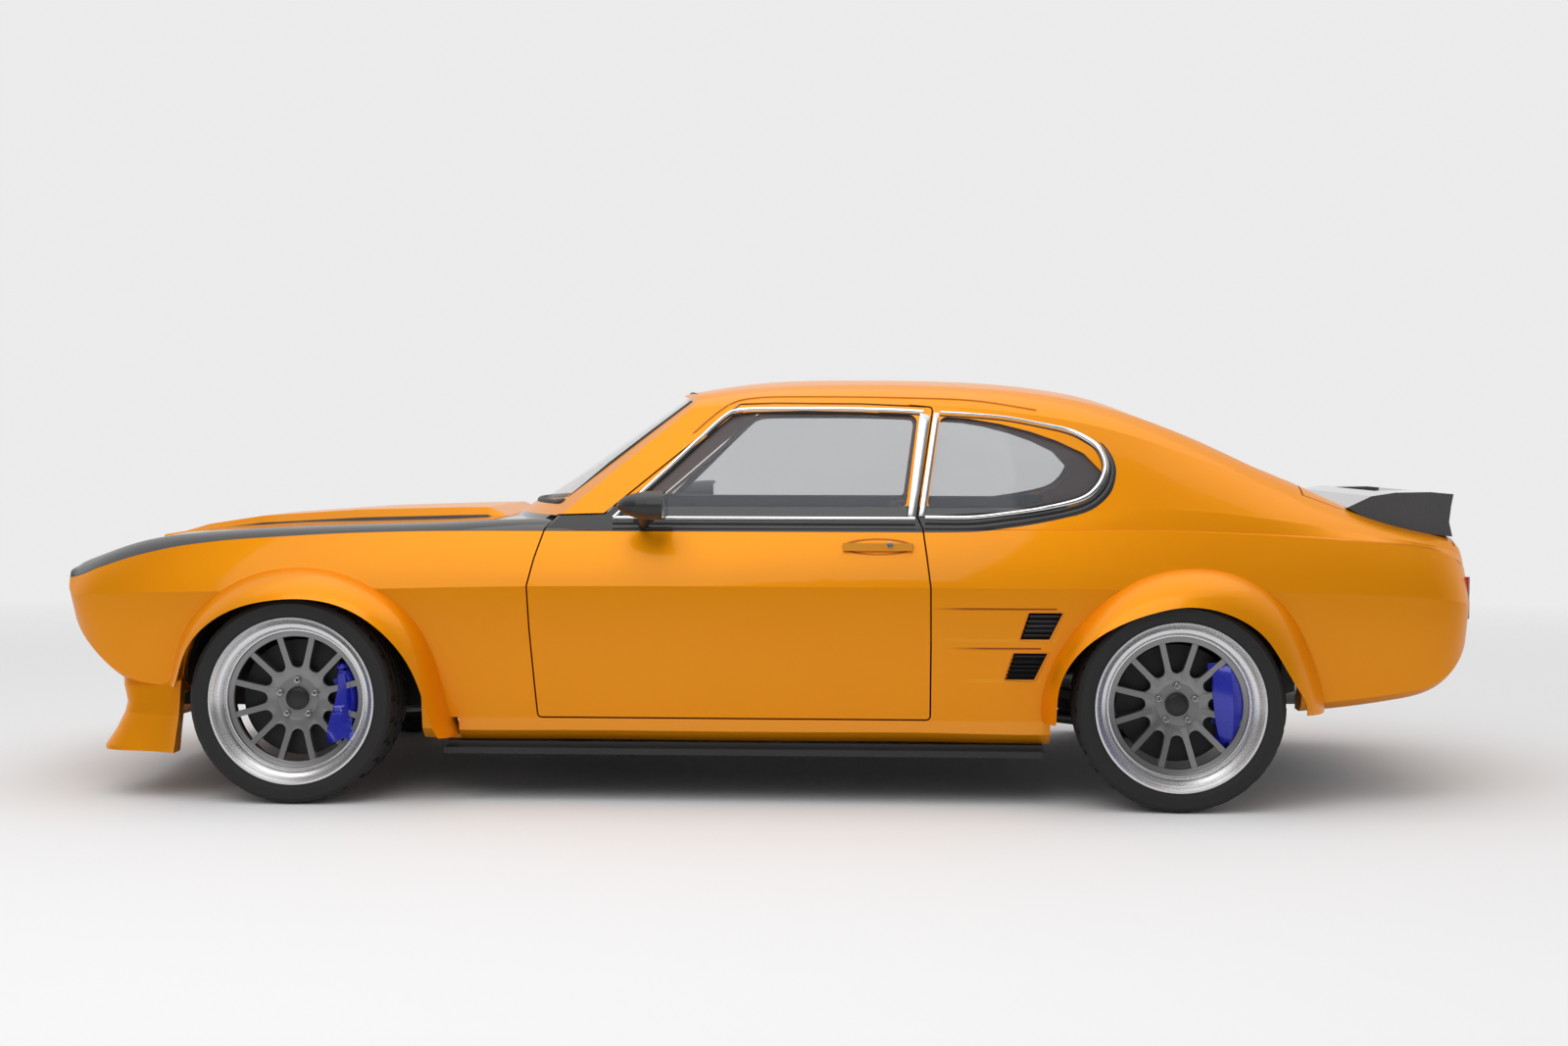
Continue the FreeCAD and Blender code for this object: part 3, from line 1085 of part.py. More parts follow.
def rear_axle():
    """Live axle on leaf springs hung below the deck, with its spindles and calipers."""
    x = REAR_AXLE_X
    inner = WELL_INNER_Y - SPRING_WIDTH
    shape = Part.makeCylinder(AXLE_TUBE_RADIUS, inner * 2, V(x, -inner, TYRE_RADIUS), V(0, 1, 0))
    shape = shape.fuse(Part.makeSphere(AXLE_CASE_RADIUS, V(x, 0, TYRE_RADIUS)))
    end = upright(x, REAR_LIP_Y, REAR_SET_BACK, inner * 0.95)
    shape = shape.fuse(end).fuse(mirrored(end))
    top = TYRE_RADIUS - AXLE_TUBE_RADIUS * 0.8
    roof_z = REAR_DECK_Z - FLOOR_PLATE - SEAT_GAP
    for side in (-1, 1):
        y0, y1 = side * SPRING_Y - SPRING_WIDTH / 2, side * SPRING_Y + SPRING_WIDTH / 2
        points = [V(x - SPRING_HALF_LENGTH, y0, top + SPRING_ARCH), V(x, y0, top),
                  V(x + SPRING_HALF_LENGTH, y0, top + SPRING_ARCH)]
        lower = [p - V(0, 0, SPRING_THICKNESS) for p in points]
        edges = [Part.Arc(*points).toShape(), Part.LineSegment(points[-1], lower[-1]).toShape(),
                 Part.Arc(*reversed(lower)).toShape(), Part.LineSegment(lower[0], points[0]).toShape()]
        shape = shape.fuse(Part.Face(Part.Wire(edges)).extrude(V(0, y1 - y0, 0)))
        for end_x in (x - SPRING_HALF_LENGTH, x + SPRING_HALF_LENGTH - HANGER_LENGTH):
            shape = shape.fuse(box(end_x, end_x + HANGER_LENGTH, y0, y1, top + SPRING_ARCH - SPRING_THICKNESS, roof_z))
    return shape


# Floor and what stands on it

def tunnel_hollow():
    """Room for the gearbox and propshaft, through the bulkhead and along the floor."""
    return box(BULKHEAD_X - OVERRUN, HEELBOARD_X + OVERRUN, -TUNNEL_HALF_WIDTH + FLOOR_PLATE,
               TUNNEL_HALF_WIDTH - FLOOR_PLATE, 0, FLOOR_TOP_Z + TUNNEL_HEIGHT - FLOOR_PLATE)


def arch_house(x, side, low_z):
    """Inner arch over one wheel, above the rail or deck that carries it."""
    y0 = min(side * BODY_HALF_WIDTH, side * (WELL_INNER_Y - WELL_LINER))
    house = Part.makeCylinder(WELL_RADIUS + WELL_LINER, BODY_HALF_WIDTH - WELL_INNER_Y + WELL_LINER,
                              V(x, y0, TYRE_RADIUS), V(0, 1, 0))
    return house.common(box(x - OVERRUN, x + OVERRUN, -BODY_HALF_WIDTH, BODY_HALF_WIDTH, low_z, ROOF_TOP))


def floor_pan(sills, cavity, wells):
    """Sills, tunnel, rear deck with the tank below it, and rear inner arches as one welded pan."""
    half = BODY_HALF_WIDTH
    tunnel = box(BULKHEAD_X, HEELBOARD_X, -TUNNEL_HALF_WIDTH, TUNNEL_HALF_WIDTH, 0, FLOOR_TOP_Z + TUNNEL_HEIGHT)
    heel = box(HEELBOARD_X, HEELBOARD_X + FLOOR_PLATE, -half, half, 0, REAR_DECK_Z)
    deck = box(HEELBOARD_X, TAIL_FRONT_X, -half, half, REAR_DECK_Z - FLOOR_PLATE, REAR_DECK_Z)
    shape = sills
    for piece in (tunnel, heel, deck, arch_house(REAR_AXLE_X, -1, HOUSE_LOW_Z), arch_house(REAR_AXLE_X, 1, HOUSE_LOW_Z)):
        shape = shape.fuse(piece.common(cavity))
    tank = box(TANK_FRONT_X, TANK_REAR_X, -TANK_LEFT_Y, TANK_RIGHT_Y, TANK_LOW_Z, REAR_DECK_Z - FLOOR_PLATE * 0.5)
    foot = box(SILL_FRONT_X - SHUT_GAP, FLARE_FOOT_X, -half, -FLARE_FOOT_Y, 0, SILL_TOP_Z + SHUT_GAP)
    shape = shape.fuse(tank).cut(both(foot)).cut(wells)
    for x in (-JACK_PAD_X, JACK_PAD_X):
        pad = box(x - JACK_PAD_LENGTH / 2, x + JACK_PAD_LENGTH / 2, -JACK_PAD_Y - JACK_PAD_WIDTH / 2,
                  -JACK_PAD_Y + JACK_PAD_WIDTH / 2, JACK_PAD_Z, FLOOR_TOP_Z - FLOOR_PLATE * 0.5)
        shape = shape.fuse(both(pad))
    return shape


def engine_bay(bay, wells):
    """Front rails, inner arches, bulkhead and the panel that carries the radiator."""
    half = BODY_HALF_WIDTH
    bulkhead = bay.common(box(BULKHEAD_X - BULKHEAD_THICKNESS, BULKHEAD_X, -half, half, FLOOR_TOP_Z - FLOOR_PLATE * 0.5,
                              BULKHEAD_TOP_Z))
    shape = bulkhead
    front = box(RAIL_FRONT_X, RAIL_FRONT_X + FLOOR_PLATE, -PANEL_HALF_WIDTH, PANEL_HALF_WIDTH, RAIL_LOW_Z,
                PANEL_TOP_Z).common(bay)
    front = front.cut(box(RAIL_FRONT_X - OVERRUN, RAIL_FRONT_X + OVERRUN, -ENGINE_HALF_WIDTH * 1.3,
                          ENGINE_HALF_WIDTH * 1.3, RAIL_LOW_Z + RAIL_WIDTH, PANEL_TOP_Z - RAIL_WIDTH))
    shape = shape.fuse(front)
    inner = box(RAIL_FRONT_X, BULKHEAD_X, -HOUSE_HALF_WIDTH, HOUSE_HALF_WIDTH, 0, ROOF_TOP)
    for side in (-1, 1):
        y0, y1 = sorted((side * (WELL_INNER_Y - RAIL_WIDTH), side * WELL_INNER_Y))
        rail = box(RAIL_FRONT_X, BULKHEAD_X, y0, y1, RAIL_LOW_Z, RAIL_TOP_Z)
        y0, y1 = sorted((side * (WELL_INNER_Y - APRON_WALL), side * WELL_INNER_Y))
        apron = box(RAIL_FRONT_X, BULKHEAD_X, y0, y1, RAIL_TOP_Z - APRON_WALL, APRON_TOP_Z).common(bay)
        house = arch_house(FRONT_AXLE_X, side, RAIL_TOP_Z).common(bay).common(inner)
        shape = shape.fuse(rail).fuse(apron).fuse(house)
    return shape.cut(wells)


def front_seats():
    seats = []
    for side in (-1, 1):
        y0 = side * SEAT_Y - SEAT_WIDTH / 2
        points = [
            V(SEAT_FRONT_X, y0, FLOOR_TOP_Z + SEAT_GAP), V(SEAT_FRONT_X + SEAT_LENGTH, y0, FLOOR_TOP_Z + SEAT_GAP),
            V(SEAT_FRONT_X + SEAT_LENGTH + SEAT_RAKE, y0, SEAT_TOP_Z - SEAT_CUSHION * 0.3),
            V(SEAT_FRONT_X + SEAT_LENGTH + SEAT_RAKE - SEAT_BACK_THICKNESS * 0.3, y0, SEAT_TOP_Z),
            V(SEAT_FRONT_X + SEAT_LENGTH + SEAT_RAKE - SEAT_BACK_THICKNESS, y0, SEAT_TOP_Z - SEAT_CUSHION * 0.2),
            V(SEAT_FRONT_X + SEAT_LENGTH - SEAT_BACK_THICKNESS, y0, SEAT_BASE_Z + SEAT_CUSHION),
            V(SEAT_FRONT_X, y0, SEAT_BASE_Z + SEAT_CUSHION * 1.2),
        ]
        seats.append(flat_face(points).extrude(V(0, SEAT_WIDTH, 0)))
    return Part.makeCompound(seats)


def rear_seat():
    """Bench on the tunnel, against the heelboard and over the rear deck."""
    half = BENCH_HALF_WIDTH
    back = BENCH_FRONT_X + BENCH_LENGTH
    base = FLOOR_TOP_Z + TUNNEL_HEIGHT + SEAT_GAP
    heel = HEELBOARD_X - SEAT_GAP
    points = [
        V(BENCH_FRONT_X, -half, base), V(heel, -half, base),
        V(heel, -half, REAR_DECK_Z + SEAT_GAP), V(back, -half, REAR_DECK_Z + SEAT_GAP),
        V(back + BENCH_RAKE * 0.6, -half, BENCH_TOP_Z), V(back + BENCH_RAKE * 0.6 - BENCH_CUSHION, -half, BENCH_TOP_Z),
        V(back - BENCH_CUSHION, -half, REAR_DECK_Z + BENCH_CUSHION),
        V(BENCH_FRONT_X, -half, REAR_DECK_Z + BENCH_CUSHION * 0.6),
    ]
    return flat_face(points).extrude(V(0, 2 * half, 0))


def dashboard():
    """Dashboard carried by the bulkhead."""
    half = DASH_HALF_WIDTH
    front = BULKHEAD_X + SEAT_GAP
    points = [
        V(front, -half, DASH_LOW_Z), V(DASH_REAR_X - DASH_LIP, -half, DASH_LOW_Z),
        V(DASH_REAR_X, -half, DASH_LOW_Z + DASH_LIP), V(DASH_REAR_X, -half, DASH_TOP_Z - DASH_LIP),
        V(DASH_REAR_X - DASH_LIP, -half, DASH_TOP_Z), V(front, -half, DASH_COWL_Z),
    ]
    return flat_face(points).extrude(V(0, 2 * half, 0))


def steering_wheel():
    """Rim, three spokes and boss, tilted towards the driver."""
    hub = V(STEERING_HUB_X, -SEAT_Y, STEERING_HUB_Z)
    tilt = math.radians(STEERING_TILT)
    axis = V(math.cos(tilt), 0, math.sin(tilt))
    up = V(-math.sin(tilt), 0, math.cos(tilt))
    corners = []
    for index in range(STEERING_RIM_SIDES):
        turn = 2 * math.pi * index / STEERING_RIM_SIDES
        reach = STEERING_WHEEL_RADIUS + STEERING_RIM_RADIUS * math.cos(turn)
        corners.append(hub + up * reach + axis * (STEERING_RIM_RADIUS * math.sin(turn)))
    rim = flat_face(corners).revolve(hub, axis, 360)
    boss = Part.makeCylinder(STEERING_BOSS_RADIUS, STEERING_RIM_RADIUS * 2, hub - axis * STEERING_RIM_RADIUS, axis)
    shape = rim.fuse(boss)
    for turn in (-90, 90, 180):
        spin = math.radians(turn)
        ray = V(0, 1, 0) * math.sin(spin) + up * math.cos(spin)
        shape = shape.fuse(rod(hub, hub + ray * STEERING_WHEEL_RADIUS, STEERING_RIM_RADIUS * 0.8))
    run = STEERING_HUB_X - DASH_REAR_X - SEAT_GAP - COLUMN_RADIUS * math.sin(tilt)
    shape = shape.fuse(rod(hub, hub - axis * (run / math.cos(tilt)), COLUMN_RADIUS))
    return shape


def exhaust():
    """Pipe along the tunnel and under the axle, rear silencer and twin tail pipes."""
    rear = SILENCER_FRONT_X + SILENCER_LENGTH
    run = [V(PIPE_FRONT_X, -PIPE_TUNNEL_Y, PIPE_Z), V(PIPE_BEND_X, -PIPE_TUNNEL_Y, PIPE_Z),
           V(PIPE_AXLE_X, -PIPE_Y, PIPE_Z), V(PIPE_RISE_X, -PIPE_Y, PIPE_Z),
           V(SILENCER_FRONT_X + PIPE_RADIUS, -PIPE_Y, SILENCER_Z)]
    shape = rod(V(SILENCER_FRONT_X, -PIPE_Y, SILENCER_Z), V(rear, -PIPE_Y, SILENCER_Z), SILENCER_RADIUS)
    for a, b in zip(run, run[1:]):
        shape = shape.fuse(rod(a, b, PIPE_RADIUS)).fuse(Part.makeSphere(PIPE_RADIUS, a))
    strap = box(rear - HANGER_LENGTH * 2, rear - HANGER_LENGTH, -PIPE_Y - PIPE_RADIUS, -PIPE_Y + PIPE_RADIUS,
                SILENCER_Z, REAR_DECK_Z - FLOOR_PLATE - SEAT_GAP)
    shape = shape.fuse(strap)
    for side in (-1, 1):
        y = -PIPE_Y + side * SILENCER_RADIUS * 0.5
        shape = shape.fuse(rod(V(rear - PIPE_RADIUS, y, SILENCER_Z), V(PIPE_REAR_X, y, SILENCER_Z), PIPE_RADIUS))
        depth = TAIL_BORE_DEPTH + side * TAIL_BORE_STAGGER
        bore = rod(V(PIPE_REAR_X - depth, y, SILENCER_Z), V(PIPE_REAR_X + PIPE_RADIUS, y, SILENCER_Z),
                   PIPE_RADIUS - PIPE_WALL)
        shape = shape.cut(bore)
    return shape


# Fittings

def grille():
    """Slatted grille across the nose, with holes for the four lamps."""
    x = GRILLE_X
    half = GRILLE_HALF_WIDTH - SEAT_GAP
    frame = box(x, x + GRILLE_DEPTH, -half, half, GRILLE_LOW_Z + SEAT_GAP, GRILLE_HIGH_Z - SEAT_GAP)
    rise = (GRILLE_HIGH_Z - GRILLE_LOW_Z) / GRILLE_BAR_COUNT
    gap = rise - GRILLE_BAR
    slots = []
    for index in range(GRILLE_BAR_COUNT):
        z = GRILLE_LOW_Z + rise * index + (rise - gap) / 2
        slots.append(box(x - GRILLE_DEPTH, x + GRILLE_DEPTH * 0.6, -half + GRILLE_BAR, half - GRILLE_BAR, z, z + gap))
    shape = frame.cut(Part.makeCompound(slots))
    for y in (LAMP_OUTER_Y, LAMP_INNER_Y, -LAMP_INNER_Y, -LAMP_OUTER_Y):
        z = (GRILLE_LOW_Z + GRILLE_HIGH_Z) / 2
        shape = shape.cut(Part.makeCylinder(LAMP_RADIUS + SEAT_GAP, OVERRUN, V(x - OVERRUN / 2, y, z), V(1, 0, 0)))
    return shape


def headlamps():
    """Four round lamps with domed lenses."""
    lamps = []
    z = (GRILLE_LOW_Z + GRILLE_HIGH_Z) / 2
    front = GRILLE_X - LAMP_DOME
    radius = (LAMP_RADIUS ** 2 + LAMP_DOME ** 2) / (2 * LAMP_DOME)
    rise = radius - math.sqrt(radius ** 2 - LAMP_RADIUS ** 2 / 4)
    for y in (LAMP_OUTER_Y, LAMP_INNER_Y, -LAMP_INNER_Y, -LAMP_OUTER_Y):
        tip, edge = V(front - LAMP_DOME, y, z), V(front, y, z + LAMP_RADIUS)
        middle = V(tip.x + rise, y, z + LAMP_RADIUS / 2)
        back, centre = V(front + LAMP_DEPTH, y, z + LAMP_RADIUS), V(front + LAMP_DEPTH, y, z)
        edges = [Part.Arc(tip, middle, edge).toShape(), Part.LineSegment(edge, back).toShape(),
                 Part.LineSegment(back, centre).toShape(), Part.LineSegment(centre, tip).toShape()]
        lamps.append(Part.Face(Part.Wire(edges)).revolve(tip, V(1, 0, 0), 360))
    return Part.makeCompound(lamps)


def grille_opening():
    z0, z1 = GRILLE_LOW_Z, GRILLE_HIGH_Z
    opening = box(-BODY_REACH - OVERRUN, GRILLE_X + GRILLE_DEPTH + LAMP_DEPTH, -GRILLE_HALF_WIDTH,
                  GRILLE_HALF_WIDTH, z0, z1)
    intake = box(-BODY_REACH - OVERRUN, NOSE_REAR_X + OVERRUN, -INTAKE_HALF_WIDTH, INTAKE_HALF_WIDTH,
                 INTAKE_LOW_Z, INTAKE_HIGH_Z)
    return Part.makeCompound([opening, intake])


def tail_spoiler(lid, tail):
    """Raised tail with upswept ends, seated on the boot lid and clear of the tail panel."""
    blank = side_prism(SPOILER_SHARES, -SPOILER_HALF_WIDTH, SPOILER_HALF_WIDTH)
    scoop = side_prism(SPOILER_SCOOP_SHARES, -SPOILER_SCOOP_HALF_WIDTH, SPOILER_SCOOP_HALF_WIDTH)
    return blank.cut(scoop).cut(lid.translated(V(0, 0, SEAT_GAP))).cut(tail.translated(V(0, 0, SPOILER_LIFT)))


def tail_lamps():
    """Two stacked strips on each side of the tail."""
    strips = []
    for side in (-1, 1):
        for row in (0, 1):
            z = LAMP_STRIP_LOW_Z + row * LAMP_STRIP_STEP
            y0, y1 = sorted((side * (LAMP_STRIP_Y - LAMP_STRIP_REACH), side * (LAMP_STRIP_Y + LAMP_STRIP_REACH)))
            strips.append(box(LAMP_STRIP_X, LAMP_STRIP_X + LAMP_STRIP_DEPTH, y0, y1, z, z + LAMP_STRIP_HEIGHT))
    return Part.makeCompound(strips)


def side_vents():
    """Pockets and slats of the two louvred vents on the left quarter."""
    pockets = []
    slats = []
    for row in (0, 1):
        shift, drop = VENT_SHIFT * row, VENT_DROP * row
        points = [V(x * BODY_REACH - shift, -BODY_HALF_WIDTH - OVERRUN, z * ROOF_TOP - drop) for x, z in VENT_SHARES]
        wire = Part.makePolygon(points + [points[0]])
        pocket = Part.Face(wire).extrude(V(0, OVERRUN + VENT_DEPTH, 0))
        pockets.append(pocket)
        high, low = points[0].z, points[1].z
        pitch = (high - low) / (VENT_SLATS + 1)
        for index in range(VENT_SLATS):
            z = low + pitch * (index + 1)
            slat = flat_face([
                V(points[2].x - OVERRUN, -BODY_HALF_WIDTH + VENT_SINK, z - pitch * 0.3),
                V(points[2].x - OVERRUN, -BODY_HALF_WIDTH + VENT_SINK + VENT_SLAT, z - pitch * 0.3),
                V(points[2].x - OVERRUN, -BODY_HALF_WIDTH + VENT_DEPTH + VENT_SLAT, z + pitch * 0.35),
                V(points[2].x - OVERRUN, -BODY_HALF_WIDTH + VENT_DEPTH, z + pitch * 0.35),
            ]).extrude(V(OVERRUN * 2, 0, 0))
            slats.append(slat.common(pocket))
    return pockets, slats


def splitters():
    """Black blades under the sills with an upturned outer edge."""
    blades = []
    high = SILL_BELLY_Z - SEAT_GAP - SPLITTER_STEP
    for side in (-1, 1):
        inner, outer = side * SPLITTER_INNER_Y, side * SPLITTER_HALF_WIDTH
        y0, y1 = sorted((inner, outer))
        blade = box(SILL_FRONT_X, SILL_REAR_X, y0, y1, high - SPLITTER_THICKNESS, high)
        y0, y1 = sorted((outer, outer - side * SPLITTER_THICKNESS))
        lip = box(SILL_FRONT_X, SILL_REAR_X, y0, y1, SPLITTER_LOW_Z, high)
        y0, y1 = sorted((inner, outer - side * SPLITTER_THICKNESS * 3))
        web = box(SILL_FRONT_X, SILL_REAR_X, y0, y1, high - SPLITTER_THICKNESS, SILL_BELLY_Z - SEAT_GAP)
        blades.append(blade.fuse(lip).fuse(web))
    return Part.makeCompound(blades)


def mirror_piece():
    """Bullet-shaped door mirror on its stalk."""
    wires = []
    for share, size in MIRROR_TAPER_SHARES:
        x = MIRROR_X - MIRROR_LENGTH / 2 + MIRROR_LENGTH * share
        wires.append(Part.Wire(Part.Ellipse(V(x, -MIRROR_Y - MIRROR_WIDTH / 2 * size, MIRROR_Z),
                                            V(x, -MIRROR_Y, MIRROR_Z + MIRROR_HEIGHT / 2 * size),
                                            V(x, -MIRROR_Y, MIRROR_Z)).toShape()))
    shell = Part.makeLoft(wires, True, True)
    foot = V(MIRROR_X + MIRROR_STALK_LEAN, -MIRROR_FOOT_Y, MIRROR_FOOT_Z)
    stalk = rod(foot, V(MIRROR_X, -MIRROR_Y, MIRROR_Z - MIRROR_HEIGHT * 0.2), MIRROR_STALK_RADIUS)
    plate = box(foot.x - MIRROR_STALK_RADIUS * 2, foot.x + MIRROR_STALK_RADIUS * 2, foot.y,
                foot.y + MIRROR_STALK_RADIUS * 2, foot.z - MIRROR_STALK_RADIUS, foot.z + MIRROR_STALK_RADIUS)
    return shell.fuse(stalk).fuse(plate)


def handle_piece():
    """Door handle bar on two feet."""
    y = -HANDLE_Y
    bar = box(HANDLE_FRONT_X, HANDLE_REAR_X, y - HANDLE_PROUD, y - HANDLE_PROUD + HANDLE_BAR,
              HANDLE_Z - HANDLE_HEIGHT / 2, HANDLE_Z + HANDLE_HEIGHT / 2)
    shape = bar
    for x in (HANDLE_FRONT_X, HANDLE_REAR_X - HANDLE_FOOT):
        shape = shape.fuse(box(x, x + HANDLE_FOOT, y - HANDLE_PROUD, y + HANDLE_PROUD,
                               HANDLE_Z - HANDLE_HEIGHT / 2, HANDLE_Z + HANDLE_HEIGHT / 2))
    return shape


def engine_block():
    block = box(ENGINE_FRONT_X, ENGINE_REAR_X, -ENGINE_HALF_WIDTH, ENGINE_HALF_WIDTH, ENGINE_LOW_Z, ENGINE_HIGH_Z)
    gearbox = box(ENGINE_REAR_X, GEARBOX_REAR_X, -GEARBOX_HALF_WIDTH, GEARBOX_HALF_WIDTH, GEARBOX_LOW_Z,
                  GEARBOX_HIGH_Z)
    return block.fuse(gearbox)


def propshaft():
    z = (GEARBOX_LOW_Z + GEARBOX_HIGH_Z) / 2
    nose = REAR_AXLE_X - AXLE_CASE_RADIUS - SEAT_GAP
    lean = SHAFT_RADIUS * (TYRE_RADIUS - z) / (nose - GEARBOX_REAR_X)
    return rod(V(GEARBOX_REAR_X + SEAT_GAP + lean, 0, z), V(nose, 0, TYRE_RADIUS), SHAFT_RADIUS)


def with_flare(panel, arch):
    """Panel welded to its flared arch in level bands."""
    top, bottom = arch.BoundBox.ZMax, arch.BoundBox.ZMin
    reach, half = BODY_REACH + OVERRUN, BODY_HALF_WIDTH + OVERRUN
    step = (top - bottom) / FLARE_BANDS
    for band in range(FLARE_BANDS):
        low = bottom + step * band
        panel = panel.fuse(arch.common(box(-reach, reach, -half, 0, low, low + step)))
    return panel


def save(name, shape):
    """One node of the car, written with only its sound solids."""
    solids = [s for s in shape.Solids if s.Volume > CRUMB_VOLUME]
    result = solids[0] if len(solids) == 1 else Part.makeCompound(solids)
    result.exportStep(os.path.join("parts", name + ".step"))


def main():
    os.makedirs("parts", exist_ok=True)
    panels = body_shapes()
    nodes = {}
    wells = [well_cut(FRONT_AXLE_X), well_cut(REAR_AXLE_X)]
    wells = Part.makeCompound(wells + [mirrored(w) for w in wells])
    cavity = panels.pop("cabin")
    bay = panels.pop("bay")
    sills = panels.pop("sills")

    flare_front = flare(FRONT_AXLE_X, FRONT_FLARE_SHARES)
    flare_rear = flare(REAR_AXLE_X, REAR_FLARE_SHARES)
    wing = with_flare(panels.pop("wing_left"), flare_front)
    pockets, slats = side_vents()
    quarter = with_flare(panels.pop("quarter_left"), flare_rear).cut(Part.makeCompound(pockets))
    for slat in slats:
        quarter = quarter.fuse(slat)
    nose = panels.pop("nose_panel").cut(grille_opening())
    lamp_strips = tail_lamps()
    panels["tail_panel"] = panels["tail_panel"].cut(lamp_strips)
    door = panels.pop("door_left")
    glass = panels.pop("door_glass_left")
    mirror_left = mirror_piece().cut(door)
    handle_left = handle_piece().cut(door)
    nodes.update(panels)
    nodes["nose_panel"] = nose.fuse(chin().cut(both(wing)))
    for name, shape in (("wing", wing), ("quarter", quarter), ("door", door), ("door_glass", glass),
                        ("mirror", mirror_left), ("door_handle", handle_left), ("knuckle", knuckle()),
                        ("tyre_front", tyre(FRONT_AXLE_X, FRONT_LIP_Y)), ("tyre_rear", tyre(REAR_AXLE_X, REAR_LIP_Y)),
                        ("wheel_front", wheel(FRONT_AXLE_X, FRONT_LIP_Y, FRONT_SET_BACK)),
                        ("wheel_rear", wheel(REAR_AXLE_X, REAR_LIP_Y, REAR_SET_BACK))):
        nodes[name + "_left"] = shape
        nodes[name + "_right"] = mirrored(shape)
    nodes["floor_pan"] = floor_pan(sills, cavity, wells).fuse(engine_bay(bay, wells)).cut(tunnel_hollow())
    nodes["grille"] = grille()
    nodes["headlamps"] = headlamps()
    nodes["tail_spoiler"] = tail_spoiler(panels["boot_lid"], panels["tail_panel"])
    nodes["tail_lamps"] = lamp_strips
    nodes["sill_splitters"] = splitters()
    nodes["front_seats"] = front_seats()
    nodes["rear_seat"] = rear_seat()
    nodes["dashboard"] = dashboard()
    nodes["steering_wheel"] = steering_wheel()
    nodes["engine_block"] = engine_block()
    nodes["propshaft"] = propshaft()
    nodes["exhaust"] = exhaust()
    nodes["front_subframe"] = front_subframe()
    nodes["rear_axle"] = rear_axle()
    for name, shape in nodes.items():
        save(name, shape)


main()
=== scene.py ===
import math

import bmesh
import bpy
from mathutils import Matrix, Vector
from mathutils.bvhtree import BVHTree


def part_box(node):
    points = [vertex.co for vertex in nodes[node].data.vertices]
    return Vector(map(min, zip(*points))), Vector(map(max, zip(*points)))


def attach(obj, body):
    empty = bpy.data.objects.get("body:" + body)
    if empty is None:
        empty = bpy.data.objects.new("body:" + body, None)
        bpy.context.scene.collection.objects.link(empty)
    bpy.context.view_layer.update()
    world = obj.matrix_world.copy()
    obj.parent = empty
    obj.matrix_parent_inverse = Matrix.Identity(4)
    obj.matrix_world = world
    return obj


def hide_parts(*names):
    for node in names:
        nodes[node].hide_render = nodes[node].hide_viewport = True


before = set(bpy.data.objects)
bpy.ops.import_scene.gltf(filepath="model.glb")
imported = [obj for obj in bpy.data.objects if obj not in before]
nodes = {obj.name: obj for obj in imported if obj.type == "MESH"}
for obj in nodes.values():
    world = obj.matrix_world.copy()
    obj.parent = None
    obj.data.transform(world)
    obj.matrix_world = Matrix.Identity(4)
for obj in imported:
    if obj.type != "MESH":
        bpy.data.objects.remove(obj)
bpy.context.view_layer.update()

# Main places of the car, in metres
FRONT_X, REAR_X = -1.347, 1.213
HUB_Z = 0.301
SIDES = (("left", -1), ("right", 1))
AXLES = (("front", FRONT_X, 0.886), ("rear", REAR_X, 0.896))
HALF_LENGTH = 2.102
ROOF_Z = 1.253


# Shader maths

class Wire:
    """A shader value that adds its Math nodes when it is used in plain Python sums."""

    def __init__(self, tree, socket):
        self.tree, self.socket = tree, socket

    def math(self, operation, *others, clamp=False):
        node = self.tree.nodes.new("ShaderNodeMath")
        node.operation = operation
        node.use_clamp = clamp
        for slot, value in zip(node.inputs, others):
            feed(self.tree, slot, value)
        return Wire(self.tree, node.outputs[0])

    def __add__(self, other):
        return self.math("ADD", self, other)

    def __radd__(self, other):
        return self.math("ADD", other, self)

    def __sub__(self, other):
        return self.math("SUBTRACT", self, other)

    def __rsub__(self, other):
        return self.math("SUBTRACT", other, self)

    def __mul__(self, other):
        return self.math("MULTIPLY", self, other)

    def __rmul__(self, other):
        return self.math("MULTIPLY", other, self)

    def __truediv__(self, other):
        return self.math("DIVIDE", self, other)

    def __rtruediv__(self, other):
        return self.math("DIVIDE", other, self)

    def __pow__(self, other):
        return self.math("POWER", self, other)

    def __abs__(self):
        return self.math("ABSOLUTE", self)

    def over(self, edge, soft=0.001):
        """1 where this value is above the edge, 0 below, turning over a soft width."""
        return ((self - edge) / soft + 0.5).math_clamp()

    def math_clamp(self):
        return self.math("ADD", self, 0.0, clamp=True)

    def under(self, edge, soft=0.001):
        return 1.0 - self.over(edge, soft)


def feed(tree, slot, value):
    if isinstance(value, Wire):
        tree.links.new(value.socket, slot)
    else:
        slot.default_value = value


